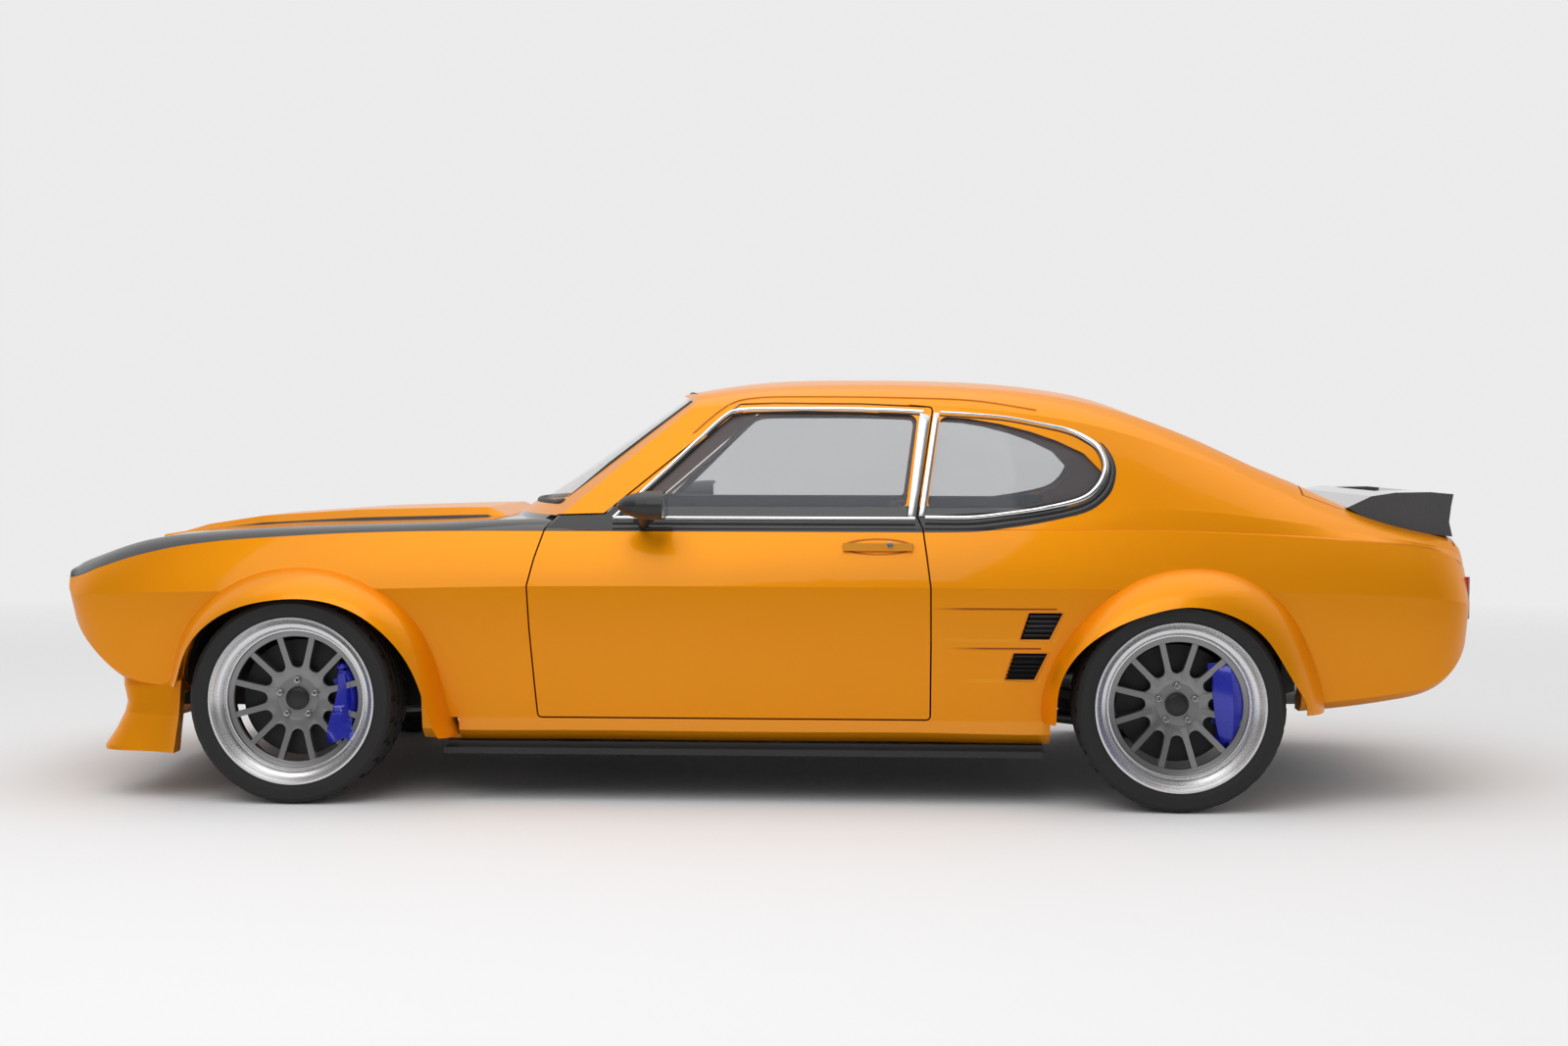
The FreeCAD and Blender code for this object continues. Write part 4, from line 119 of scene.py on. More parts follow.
class Finish:
    """A material and its one Principled shader."""

    def __init__(self, name, colour, roughness, metallic=0.0, **extra):
        self.material = bpy.data.materials.new(name)
        self.material.use_nodes = True
        self.tree = self.material.node_tree
        self.shader = self.tree.nodes["Principled BSDF"]
        self.set("Base Color", colour)
        self.set("Roughness", roughness)
        self.set("Metallic", metallic)
        for key, value in extra.items():
            self.set(key.replace("_", " "), value)
        self.material.diffuse_color = colour if isinstance(colour, tuple) else (0.5, 0.5, 0.5, 1.0)

    def set(self, name, value):
        feed(self.tree, self.shader.inputs[name], value)

    def node(self, kind, values=None, output=0, **settings):
        """One node of a kind, with its settings set first and then its sockets' values or links."""
        made = self.tree.nodes.new(kind)
        for key, value in settings.items():
            if key == "curve":
                points = made.mapping.curves[0].points
                while len(points) < len(value):
                    points.new(0.5, 0.5)
                for point, (across, up) in zip(points, value):
                    point.location = (across, up)
                    point.handle_type = "AUTO_CLAMPED"
                made.mapping.update()
            else:
                setattr(made, key, value)
        for key, value in (values or {}).items():
            feed(self.tree, made.inputs[key], value)
        return Wire(self.tree, made.outputs[output])

    def place(self):
        """The three Object coordinates and their vector."""
        vector = self.node("ShaderNodeTexCoord", output=3)
        split = self.tree.nodes.new("ShaderNodeSeparateXYZ")
        self.tree.links.new(vector.socket, split.inputs[0])
        return [Wire(self.tree, split.outputs[i]) for i in range(3)] + [vector]

    def mix(self, share, low, high):
        """Colour between low and high by a share."""
        return self.node("ShaderNodeMix", {0: share, 6: low, 7: high}, output=2, data_type="RGBA")

    def noise(self, vector, scale, detail=3.0, rough=0.5):
        return self.node("ShaderNodeTexNoise",
                         {"Vector": vector, "Scale": scale, "Detail": detail, "Roughness": rough})

    def bump(self, height, strength, distance=0.001):
        self.set("Normal", self.node("ShaderNodeBump",
                                     {"Height": height, "Strength": strength, "Distance": distance}))

    def track(self, x, points, low=0.0, high=ROOF_Z):
        """Height that follows side-view points as x runs along the car."""
        share = (x + HALF_LENGTH) / (2 * HALF_LENGTH)
        curve = [((px + HALF_LENGTH) / (2 * HALF_LENGTH), (pz - low) / (high - low)) for px, pz in points]
        height = self.node("ShaderNodeFloatCurve", {"Value": share, "Factor": 1.0}, curve=curve)
        return height * (high - low) + low


# Finishes

ORANGE = (0.88, 0.315, 0.0010, 1.0)
ORANGE_DEEP = (0.78, 0.235, 0.0008, 1.0)
# Dark red painted as shade round the handle scoops' rims and along the top edges of the pressed channels
PAINTED_SHADE_RED = (0.20, 0.020, 0.0005, 1.0)
# Light orange painted as highlight on the handle scoops' bottom halves and along the bottom edges of the
# pressed channels
PAINTED_HIGHLIGHT_ORANGE = (0.95, 0.42, 0.03, 1.0)
BLACK = (0.012, 0.012, 0.013, 1.0)
PAINT_METAL = 0.50
PAINT_COAT = 0.35
FLAKE_SCALE = 900.0

# Lower edge of the black band, in side view
STRIPE_EDGE = (
    (-2.102, 0.640), (-2.062, 0.646), (-1.974, 0.677), (-1.820, 0.722), (-1.669, 0.750), (-1.370, 0.775),
    (-1.076, 0.788), (-0.785, 0.792), (-0.265, 0.7925), (0.462, 0.7925), (0.622, 0.794), (0.727, 0.805),
    (0.833, 0.822), (0.930, 0.843),
)

# Louvred vents of the quarters and the pressed channels that run into them, in side view
VENTS = (((0.764, 0.487), (0.789, 0.564), 0.0945, 0.0815), ((0.721, 0.370), (0.746, 0.447), 0.0945, 0.0815))
CHANNELS = ((0.506, 0.866, 0.5765, 0.4850), (0.555, 0.822, 0.4620, 0.3665))


# Scoop behind each door handle: middle, half width and half height in side view
SCOOP = (0.352, 0.7505, 0.102, 0.0235)


def scooped(paint, x, z, colour, relief):
    """Dished scoop behind a door handle, with painted shade round its rim and a painted highlight on its bottom
    half.
    """
    middle_x, middle_z, half_width, half_height = SCOOP
    reach = ((x - middle_x) / half_width) ** 2.0 + ((z - middle_z) / half_height) ** 2.0
    dish = reach.under(1.0, 0.25)
    # Painted highlight: the scoop's bottom half is mixed towards light orange
    lower = dish * z.under(0.749, 0.006)
    # Painted shade: the scoop's rim is mixed towards dark red
    rim = dish * reach.over(0.70, 0.25)
    colour = paint.mix(lower * 0.25, colour, PAINTED_HIGHLIGHT_ORANGE)
    return paint.mix(rim * 0.75, colour, PAINTED_SHADE_RED), relief - dish * 4.0


def louvred(paint, x, y, z, colour, relief):
    """Pressed channels that run into the vents, with painted shade along each channel's top edge and a painted
    highlight along its bottom edge; gives also the share of each place that is vent opening.
    """
    for start, end, high, low in CHANNELS:
        run = x.over(start + 0.05, 0.10) * x.under(end, 0.004)
        # Painted shade: a dark red line along the channel's top edge
        line = run * z.over(high - 0.0045, 0.005) * z.under(high + 0.001, 0.0015)
        # Painted highlight: a light orange band along the channel's bottom edge
        painted_highlight_band = run * z.over(low - 0.006, 0.004) * z.under(low + 0.004, 0.004)
        colour = paint.mix(painted_highlight_band * 0.35, colour, PAINTED_HIGHLIGHT_ORANGE)
        colour = paint.mix(line * 0.85, colour, PAINTED_SHADE_RED)
        pressed = run * z.under(high, 0.004) * z.over(low, 0.012)
        relief = relief - pressed * 3.0
    holes = []
    for (low_x, low_z), (high_x, high_z), high_width, low_width in VENTS:
        share = (z - low_z) / (high_z - low_z)
        edge = low_x + share * (high_x - low_x)
        width = low_width + share * (high_width - low_width)
        hole = (x - edge).over(0.0, 0.001) * (x - edge - width).under(0.0, 0.001)
        hole = hole * z.over(low_z, 0.001) * z.under(high_z, 0.001) * abs(y).over(0.60, 0.01)
        colour = paint.mix(hole, colour, BLACK)
        holes.append(hole)
    return colour, relief, holes


def paint_finish(name, bands=True, bonnet=False, vents=False, handles=False):
    """Metallic orange over the body, with the satin black band and bonnet sides where a panel has them."""
    paint = Finish(name, ORANGE, 0.34, PAINT_METAL, Coat_Weight=PAINT_COAT, Coat_Roughness=0.05,
                   Coat_IOR=1.5, Specular_IOR_Level=0.08)
    x, y, z, vector = paint.place()
    flake = paint.noise(vector, FLAKE_SCALE, 2.0)
    cloud = paint.noise(vector, 1.3, 2.0)
    colour = paint.mix(cloud * 0.35 + flake * 0.15, ORANGE, ORANGE_DEEP)
    rough = 0.36 + flake * 0.10
    metal = PAINT_METAL
    coat = PAINT_COAT
    relief = flake * 0.05
    if bands:
        black = z.over(paint.track(x, STRIPE_EDGE), 0.002)
        if bonnet:
            width = 0.150 + (x + 1.960) / 1.088 * 0.180 + 0.020
            black = black * abs(y).over(width, 0.003)
        else:
            black = black * x.under(0.93) * (1.0 - x.over(-0.56) * z.over(0.868, 0.002))
        colour = paint.mix(black, colour, BLACK)
        rough = rough + black * 0.02
        metal = PAINT_METAL - black * PAINT_METAL
        coat = PAINT_COAT + black * 0.55
    if handles:
        colour, relief = scooped(paint, x, z, colour, relief)
    if vents:
        colour, relief, holes = louvred(paint, x, y, z, colour, relief)
        for hole in holes:
            coat = coat * (1.0 - hole)
            metal = metal * (1.0 - hole)
    paint.set("Base Color", colour)
    paint.set("Roughness", rough)
    paint.set("Metallic", metal)
    paint.set("Coat Weight", coat)
    paint.bump(relief, 0.25, 0.001)
    return paint


def pan_finish():
    """Dark sealed underside, with the outer faces of the sills in body colour."""
    paint = Finish("floor_and_sill_paint", ORANGE, 0.4, 0.3, Coat_Roughness=0.03, Specular_IOR_Level=0.25)
    x, y, z, vector = paint.place()
    flake = paint.noise(vector, FLAKE_SCALE, 2.0)
    grit = paint.noise(vector, 120.0, 4.0)
    sill = abs(y).over(0.700, 0.002) * z.over(0.1765, 0.002) * x.over(-0.93, 0.001) * x.under(0.86, 0.001)
    sill = sill * z.under(0.262, 0.002)
    orange = paint.mix(flake * 0.3, ORANGE, ORANGE_DEEP)
    paint.set("Base Color", paint.mix(sill, (0.02, 0.02, 0.02, 1.0), orange))
    paint.set("Roughness", 0.62 - sill * 0.24)
    paint.set("Metallic", sill * 0.3)
    paint.set("Coat Weight", sill * 0.7)
    paint.bump(grit * (1.0 - sill) + flake * sill * 0.05, 0.3, 0.0008)
    return paint


def satin_finish(name, colour, roughness=0.42, scale=260.0, strength=0.12, metallic=0.0, **extra):
    """Plain coloured surface with a fine grain in its gloss and relief."""
    satin = Finish(name, colour, roughness, metallic, **extra)
    vector = satin.place()[3]
    grain = satin.noise(vector, scale, 4.0)
    wear = satin.noise(vector, 7.0, 3.0)
    lighter = tuple(min(1.0, c * 1.6 + 0.004) for c in colour[:3]) + (1.0,)
    satin.set("Base Color", satin.mix(wear * 0.5, colour, lighter))
    satin.set("Roughness", roughness - 0.06 + grain * 0.12)
    satin.bump(grain, strength, 0.0004)
    return satin


def glass_finish(name, tint, alpha):
    """Clear pane, faintly tinted, that reflects at a glance."""
    glass = Finish(name, tint, 0.03, 0.0, Coat_Weight=0.4, IOR=1.45)
    vector = glass.place()[3]
    film = glass.noise(vector, 3.0, 2.0)
    glass.set("Roughness", 0.02 + film * 0.02)
    glass.set("Alpha", alpha + film * 0.03)
    glass.material.surface_render_method = "BLENDED"
    return glass


def wheel_finish(name, hub_x, lip):
    """Polished stepped lip, satin gunmetal spokes and ring, dark barrel, hub cap and nuts."""
    metal = Finish(name, (0.3, 0.3, 0.3, 1.0), 0.3, 1.0)
    x, y, z, vector = metal.place()
    dx, dz = x - hub_x, z - HUB_Z
    radius = (dx * dx + dz * dz) ** 0.5
    depth = lip - abs(y)
    polished = radius.over(0.1995, 0.0015) * depth.under(0.064, 0.002)
    barrel = depth.over(0.108, 0.002)
    rings = metal.node("ShaderNodeCombineXYZ", {0: radius * 900.0, 1: depth * 40.0, 2: 0.0})
    lathe_marks = metal.noise(rings, 1.0, 2.0)
    cast = metal.noise(vector, 420.0, 4.0)
    colour = metal.mix(polished, metal.mix(cast, (0.25, 0.25, 0.25, 1.0), (0.31, 0.31, 0.315, 1.0)),
                       (0.80, 0.80, 0.81, 1.0))
    colour = metal.mix(barrel, colour, (0.015, 0.015, 0.016, 1.0))
    metal.set("Base Color", colour)
    metal.set("Roughness", 0.40 - polished * 0.20 + cast * 0.08 + lathe_marks * 0.05 * polished)
    metal.set("Metallic", 0.9 - barrel * 0.6)
    metal.bump(cast * (1.0 - polished) * 0.4 + lathe_marks * polished * 0.2, 0.25, 0.0004)
    return metal


# Brake disc and the rows of holes drilled in it
DISC_RADIUS = 0.1605
DRILL_START = 0.096
DRILL_STEP = 0.0165
DRILL_COUNT = 30.0


def upright_finish(name, hub_x):
    """Dark castings, the grey drilled brake disc and a bright blue caliper behind the axle."""
    metal = Finish(name, (0.05, 0.05, 0.05, 1.0), 0.5, 0.0)
    x, y, z, vector = metal.place()
    dx, dz = x - hub_x, z - HUB_Z
    radius = (dx * dx + dz * dz) ** 0.5
    outward = abs(y).over(0.695, 0.001)
    caliper = radius.over(0.1085, 0.001) * dx.over(0.070, 0.001) * outward
    disc = radius.under(DISC_RADIUS, 0.0008) * radius.over(0.0845, 0.001) * outward * (1.0 - caliper)
    row = (radius - DRILL_START) / DRILL_STEP
    band = row.math("FLOOR", row)
    swirl = dz.math("ARCTAN2", dz, dx) * (DRILL_COUNT / math.tau) + band * 0.37
    sideways = (swirl.math("FRACT", swirl) - 0.5) * radius * (math.tau / DRILL_COUNT)
    inward = (row - band - 0.5) * DRILL_STEP
    from_middle = (sideways * sideways + inward * inward) ** 0.5
    hole = disc * radius.over(DRILL_START) * radius.under(DISC_RADIUS) * from_middle.under(0.0036, 0.0006)
    cast = metal.noise(vector, 300.0, 4.0)
    rings = metal.node("ShaderNodeCombineXYZ", {0: radius * 1400.0, 1: 0.0, 2: 0.0})
    turned_marks = metal.noise(rings, 1.0, 2.0)
    colour = metal.mix(cast, (0.020, 0.020, 0.020, 1.0), (0.05, 0.05, 0.05, 1.0))
    face = metal.mix(turned_marks, (0.30, 0.30, 0.305, 1.0), (0.46, 0.46, 0.46, 1.0))
    colour = metal.mix(disc, colour, face)
    # Painted shade: the drilled holes are mixed to near black
    colour = metal.mix(hole, colour, (0.008, 0.008, 0.008, 1.0))
    metal.set("Base Color", metal.mix(caliper, colour, (0.010, 0.018, 0.30, 1.0)))
    metal.set("Roughness", 0.55 - caliper * 0.3 - disc * 0.22 + cast * 0.1)
    metal.set("Metallic", disc * 0.35 * (1.0 - hole))
    metal.bump(cast * 0.5 + turned_marks * disc * 0.3 - hole * 2.0, 0.25, 0.0006)
    return metal


def dress(names, finish):
    """Give CAD nodes one finish."""
    for name in names:
        node = nodes[name]
        node.data.materials.clear()
        node.data.materials.append(finish.material)


panel_paint = paint_finish("orange_body_paint")
door_paint = paint_finish("orange_door_paint", handles=True)
quarter_paint = paint_finish("orange_quarter_paint", vents=True)
bonnet_paint = paint_finish("orange_bonnet_paint", bonnet=True)
plain_paint = paint_finish("orange_roof_paint", bands=False)
black_trim = satin_finish("satin_black_trim", (0.016, 0.016, 0.017, 1.0), 0.40)
spoiler_black = satin_finish("spoiler_black", (0.055, 0.055, 0.058, 1.0), 0.26, Coat_Weight=1.0)
handle_paint = satin_finish("handle_paint", (0.80, 0.30, 0.02, 1.0), 0.20, 500.0, 0.03, 0.3,
                            Coat_Weight=1.0)
rubber = satin_finish("window_rubber", (0.010, 0.010, 0.010, 1.0), 0.55)
chrome = satin_finish("bright_chrome", (0.78, 0.78, 0.79, 1.0), 0.13, 500.0, 0.02, 1.0)
steel = satin_finish("plain_steel", (0.34, 0.34, 0.34, 1.0), 0.38, 200.0, 0.2, 1.0)
cast_grey = satin_finish("engine_casting", (0.07, 0.07, 0.072, 1.0), 0.55, 160.0, 0.5, 0.4)
cabin_trim = satin_finish("cabin_trim", (0.014, 0.014, 0.015, 1.0), 0.5, 700.0, 0.5)
screen_glass = glass_finish("screen_glass", (0.30, 0.33, 0.36, 1.0), 0.12)
side_glass = glass_finish("side_glass", (0.24, 0.26, 0.29, 1.0), 0.16)
lamp_glass = glass_finish("lamp_glass", (0.85, 0.87, 0.9, 1.0), 0.45)
red_lens = satin_finish("red_lens", (0.45, 0.008, 0.01, 1.0), 0.12, 900.0, 0.05, 0.0, Coat_Weight=1.0)
moulding_grey = satin_finish("moulding_grey", (0.045, 0.045, 0.047, 1.0), 0.32, 400.0, 0.06, 0.55)
brushed_chrome = satin_finish("brushed_chrome", (0.62, 0.62, 0.63, 1.0), 0.24, 300.0, 0.05, 1.0)
bright_nut = satin_finish("bright_nut", (0.50, 0.50, 0.51, 1.0), 0.22, 500.0, 0.05, 1.0)
satin_black = satin_finish("satin_black_metal", (0.020, 0.020, 0.022, 1.0), 0.34, 500.0, 0.05, 0.3)
dark_pane = satin_finish("dark_pane", (0.010, 0.011, 0.013, 1.0), 0.12, 300.0, 0.01, 0.0, Coat_Weight=0.5)
tyre_rubber = satin_finish("tyre_rubber", (0.010, 0.010, 0.010, 1.0), 0.70, 340.0, 0.3)

dress(["nose_panel", "wing_left", "wing_right", "scuttle"], panel_paint)
dress(["door_left", "door_right"], door_paint)
dress(["quarter_left", "quarter_right"], quarter_paint)
dress(["bonnet"], bonnet_paint)
dress(["roof", "boot_lid", "tail_panel"], plain_paint)
dress(["grille", "sill_splitters", "mirror_left", "mirror_right"], black_trim)
dress(["tail_spoiler"], spoiler_black)
dress(["windscreen"], screen_glass)
dress(["door_glass_left", "door_glass_right", "rear_glass"], side_glass)
dress(["headlamps"], lamp_glass)
dress(["tail_lamps"], red_lens)
dress(["door_handle_left", "door_handle_right"], handle_paint)
dress(["floor_pan"], pan_finish())
dress(["front_seats", "rear_seat", "dashboard", "steering_wheel"], cabin_trim)
dress(["engine_block", "front_subframe", "rear_axle"], cast_grey)
dress(["propshaft", "exhaust"], steel)
dress(["tyre_front_left", "tyre_front_right", "tyre_rear_left", "tyre_rear_right"], tyre_rubber)
for end, hub_x, lip in AXLES:
    rims = wheel_finish(end + "_wheel_metal", hub_x, lip)
    dress(["wheel_%s_%s" % (end, side) for side, _ in SIDES], rims)
front_upright = upright_finish("front_upright", FRONT_X)
rear_upright = upright_finish("rear_upright", REAR_X)
dress(["knuckle_left", "knuckle_right"], front_upright)
dress(["rear_axle"], rear_upright)


# Modelling helpers

SHEET = bpy.context.scene.collection
ALONG = (1.0, 0.0, 0.0)


def pick(*pieces):
    """Leave only these objects selected, the first of them active."""
    bpy.ops.object.select_all(action="DESELECT")
    for piece in pieces:
        piece.select_set(True)
    bpy.context.view_layer.objects.active = pieces[0]


def keep(piece, name, finish, body="body", crease=None):
    """Apply a finished piece's place, name it, dress it and fix it to its body."""
    pick(piece)
    bpy.ops.object.transform_apply(location=True, rotation=True, scale=True)
    if crease is not None:
        bpy.ops.object.shade_smooth_by_angle(angle=math.radians(crease))
    piece.name = piece.data.name = name
    piece.data.materials.clear()
    piece.data.materials.append(finish.material)
    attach(piece, body)
    return piece


def edit(piece, kind="FACE"):
    """Enter edit mode on one piece with nothing selected."""
    pick(piece)
    bpy.ops.object.mode_set(mode="EDIT")
    bpy.ops.mesh.select_mode(type=kind)
    bpy.ops.mesh.select_all(action="DESELECT")
    return bmesh.from_edit_mesh(piece.data)


def choose(piece, test):
    """Select the faces that a test accepts, and stay in edit mode."""
    mesh = edit(piece)
    for part in mesh.faces:
        part.select = bool(test(part))
    bmesh.update_edit_mesh(piece.data)


def done():
    bpy.ops.object.mode_set(mode="OBJECT")


def tidy_mesh(piece, distance=0.00002):
    """Merge doubles and turn every face outwards."""
    edit(piece)
    bpy.ops.mesh.select_all(action="SELECT")
    bpy.ops.mesh.remove_doubles(threshold=distance)
    bpy.ops.mesh.normals_make_consistent(inside=False)
    done()


def finish_with(piece, kind, **settings):
    """Add one modifier and apply it."""
    pick(piece)
    modifier = piece.modifiers.new(kind.lower(), kind)
    for key, value in settings.items():
        setattr(modifier, key, value)
    bpy.ops.object.modifier_apply(modifier=modifier.name)


def block(low, high, bevel=0.0, segments=2):
    """Box between two corners with rounded edges."""
    bpy.ops.object.select_all(action="DESELECT")
    middle = [(a + b) / 2 for a, b in zip(low, high)]
    bpy.ops.mesh.primitive_cube_add(size=1.0, location=middle)
    piece = bpy.context.object
    piece.scale = [b - a for a, b in zip(low, high)]
    bpy.ops.object.transform_apply(location=True, rotation=True, scale=True)
    if bevel:
        finish_with(piece, "BEVEL", width=bevel, segments=segments, limit_method="ANGLE")
    return piece


def path(points, closed=False):
    """Curve object through points, which may hold a fourth number, the bead's share of its radius there."""
    curve = bpy.data.curves.new("path", "CURVE")
    curve.dimensions = "3D"
    spline = curve.splines.new("POLY")
    spline.points.add(len(points) - 1)
    for spot, point in zip(spline.points, points):
        spot.co = (*tuple(point)[:3], 1.0)
        spot.radius = point[3] if len(point) > 3 else 1.0
    spline.use_cyclic_u = closed
    piece = bpy.data.objects.new("path", curve)
    SHEET.objects.link(piece)
    return piece


def bead(points, radius, closed=False):
    """Round bead along a path as a mesh, with filled ends."""
    piece = path(points, closed)
    piece.data.bevel_depth = radius
    piece.data.bevel_resolution = 3
    piece.data.use_fill_caps = not closed
    pick(piece)
    bpy.ops.object.convert(target="MESH")
    piece = bpy.context.object
    tidy_mesh(piece)
    return piece


def lathe(section, centre, steps=96, axis=(0.0, 1.0, 0.0)):
    """Ring spun about an axis from a section of (radius, place along the axis) points."""
    across = (1.0, 0.0, 0.0) if axis[1] else (0.0, 1.0, 0.0)
    spots = [[centre[i] + across[i] * r + axis[i] * d for i in range(3)] for r, d in section]
    piece = path(spots, True)
    pick(piece)
    bpy.ops.object.convert(target="MESH")
    piece = bpy.context.object
    edit(piece)
    bpy.ops.mesh.select_all(action="SELECT")
    bpy.ops.mesh.spin(steps=steps, angle=math.tau, center=centre, axis=axis)
    done()
    tidy_mesh(piece)
    return piece


def joined(pieces):
    """One object made of several."""
    pick(*pieces)
    if len(pieces) > 1:
        bpy.ops.object.join()
    return bpy.context.object


# Outer face of the CAD panels and panes, as the eye meets it from the side

def tree_of(names):
    """Search tree over the meshes of some CAD nodes."""
    corners, triangles = [], []
    for name in names:
        mesh = nodes[name].data
        mesh.calc_loop_triangles()
        start = len(corners)
        corners += [vertex.co.copy() for vertex in mesh.vertices]
        triangles += [[start + i for i in triangle.vertices] for triangle in mesh.loop_triangles]
    return BVHTree.FromPolygons(corners, triangles)


SIDE_PANELS = {side: tree_of(["nose_panel", "wing_" + side, "door_" + side, "quarter_" + side, "roof",
                              "scuttle", "tail_panel", "floor_pan"]) for side, _ in SIDES}
SIDE_PANES = {side: tree_of(["door_glass_" + side, "rear_glass"]) for side, _ in SIDES}
PANE_INSET = 0.009


def met(tree, x, z, sign):
    """Where a level ray from outside first meets a tree on its own side, with the surface's normal."""
    spot, normal, _, _ = tree.ray_cast(Vector((x, sign * 1.5, z)), Vector((0.0, -sign, 0.0)))
    return (spot, normal) if spot is not None and spot.y * sign > 0.3 else (None, None)


def skin(x, z, sign, lift=0.0):
    """Point on the side of the car at a place in side view, raised off the paint by a lift."""
    side = "left" if sign < 0 else "right"
    for dx, dz in ((0, 0), (0, -0.007), (0, 0.007), (-0.007, 0), (0.007, 0), (0, -0.014), (0, 0.014)):
        panel, normal = met(SIDE_PANELS[side], x + dx, z + dz, sign)
        pane, pane_normal = met(SIDE_PANES[side], x + dx, z + dz, sign)
        if pane is not None and (panel is None or abs(pane.y) > abs(panel.y)):
            panel, normal = pane + pane_normal * PANE_INSET, pane_normal
        if panel is not None:
            return Vector((x, panel.y, z)) + normal * lift
    raise ValueError("no skin at x %.3f, z %.3f" % (x, z))


def flowing(points, step=0.012):
    """Evenly spaced places on a smooth line through side-view points."""
    ends = [points[0]] + list(points) + [points[-1]]
    places = []
    for a, b, c, d in zip(ends, ends[1:], ends[2:], ends[3:]):
        count = max(1, round(math.dist(b, c) / step))
        for i in range(count):
            t = i / count
            places.append(tuple(
                0.5 * (2 * q + (r - p) * t + (2 * p - 5 * q + 4 * r - s) * t * t
                       + (3 * q - p - 3 * r + s) * t ** 3) for p, q, r, s in zip(a, b, c, d)))
    return places + [tuple(points[-1])]


def beside(places, out):
    """Places moved to the outer side of a line that runs round a window, by one offset or one for each."""
    moved = []
    for i, (x, z) in enumerate(places):
        (x0, z0), (x1, z1) = places[max(0, i - 1)], places[min(len(places) - 1, i + 1)]
        length = math.hypot(x1 - x0, z1 - z0)
        offset = out[i] if isinstance(out, list) else out
        moved.append((x + (z1 - z0) / length * offset, z - (x1 - x0) / length * offset))
    return moved


def pane_loops(node, facing, least=0.2):
    """Rims of a CAD pane's outer face, each a list of (corner, way outward, way off the glass)."""
    mesh = bmesh.new()
    mesh.from_mesh(nodes[node].data)
    bmesh.ops.remove_doubles(mesh, verts=mesh.verts, dist=0.00001)
    bmesh.ops.recalc_face_normals(mesh, faces=mesh.faces)
    mesh.edges.index_update()
    outer = {face for face in mesh.faces if face.normal.dot(Vector(facing)) > least}
    rim = {edge for edge in mesh.edges if sum(face in outer for face in edge.link_faces) == 1}
    loops = []
    while rim:
        edge = min(rim, key=lambda part: part.index)
        rim.discard(edge)
        chain = [edge.verts[0], edge.verts[1]]
        while True:
            step = next((e for e in chain[-1].link_edges if e in rim), None)
            if step is None:
                break
            rim.discard(step)
            chain.append(step.other_vert(chain[-1]))
        if chain[0] == chain[-1]:
            chain.pop()
        if len(chain) > 8:
            loops.append(loop_frames(chain, outer))
    mesh.free()
    return loops


def loop_frames(chain, outer):
    """Evenly thinned places along a rim, each with the way out of the pane and the glass's normal."""
    spots = [vertex.co.copy() for vertex in chain]
    normals = []
    for vertex in chain:
        total = Vector()
        for face in vertex.link_faces:
            if face in outer:
                total += face.normal
        normals.append(total.normalized())
    middle = sum(spots, Vector()) / len(spots)
    frames = []
    last = None
    for index, spot in enumerate(spots):
        if last is not None and (spot - last).length < 0.006:
            continue
        last = spot
        ahead, behind = spots[(index + 1) % len(spots)], spots[index - 1]
        way = (ahead - behind).normalized().cross(normals[index]).normalized()
        if way.dot(spot - middle) < 0:
            way.negate()
        frames.append((spot, way, normals[index]))
    return frames


def along(frames, out, lift):
    """Places beside a rim: out from the pane and lifted off it."""
    return [tuple(spot + way * out + normal * lift) for spot, way, normal in frames]


# Window trims

def plate(corners, sign, lift, thickness, rows=8, columns=2, round_off=0.0):
    """Thin plate laid on the side of the car between four side-view corners, in order round it."""
    bpy.ops.object.select_all(action="DESELECT")
    bpy.ops.mesh.primitive_grid_add(x_subdivisions=columns, y_subdivisions=rows, size=2.0)
    piece = bpy.context.object
    for vertex in piece.data.vertices:
        s, t = (vertex.co.x + 1) / 2, (vertex.co.y + 1) / 2
        x, z = [(1 - t) * ((1 - s) * corners[0][i] + s * corners[1][i]) + t * (
            (1 - s) * corners[3][i] + s * corners[2][i]) for i in range(2)]
        vertex.co = skin(x, z, sign, lift)
    tidy_mesh(piece)
    if piece.data.polygons[0].normal.y * sign < 0:
        piece.data.flip_normals()
    finish_with(piece, "SOLIDIFY", thickness=thickness, offset=-1.0)
    if round_off:
        finish_with(piece, "BEVEL", width=round_off, segments=2, limit_method="ANGLE")
    return piece


PILLAR_STRIPS = (
    ("door_pillar_strip", "door_%s_body",
     ((0.438, 0.836), (0.462, 0.836), (0.5035, 1.131), (0.474, 1.141))),
    ("quarter_pillar_strip", "body", ((0.470, 0.836), (0.488, 0.836), (0.532, 1.140), (0.515, 1.141))),
)
DOOR_RING = ((-0.425, 0.8315), (-0.3435, 0.9080), (-0.2536, 0.9930), (-0.1800, 1.0640), (-0.1080, 1.1300),
             (-0.0777, 1.1460), (-0.0366, 1.1515), (0.1130, 1.1530), (0.2620, 1.1525), (0.4106, 1.1485),
             (0.4840, 1.1440))
QUARTER_RING = ((0.4880, 0.8350), (0.6220, 0.8350), (0.7270, 0.8465), (0.8330, 0.8620), (0.9390, 0.8865),
                (0.9880, 0.9190), (1.0130, 0.9600), (1.0170, 0.9965), (0.9980, 1.0390), (0.9620, 1.0660),
                (0.9145, 1.0890), (0.8400, 1.1070), (0.7330, 1.1275), (0.6260, 1.1375), (0.5340, 1.1430))

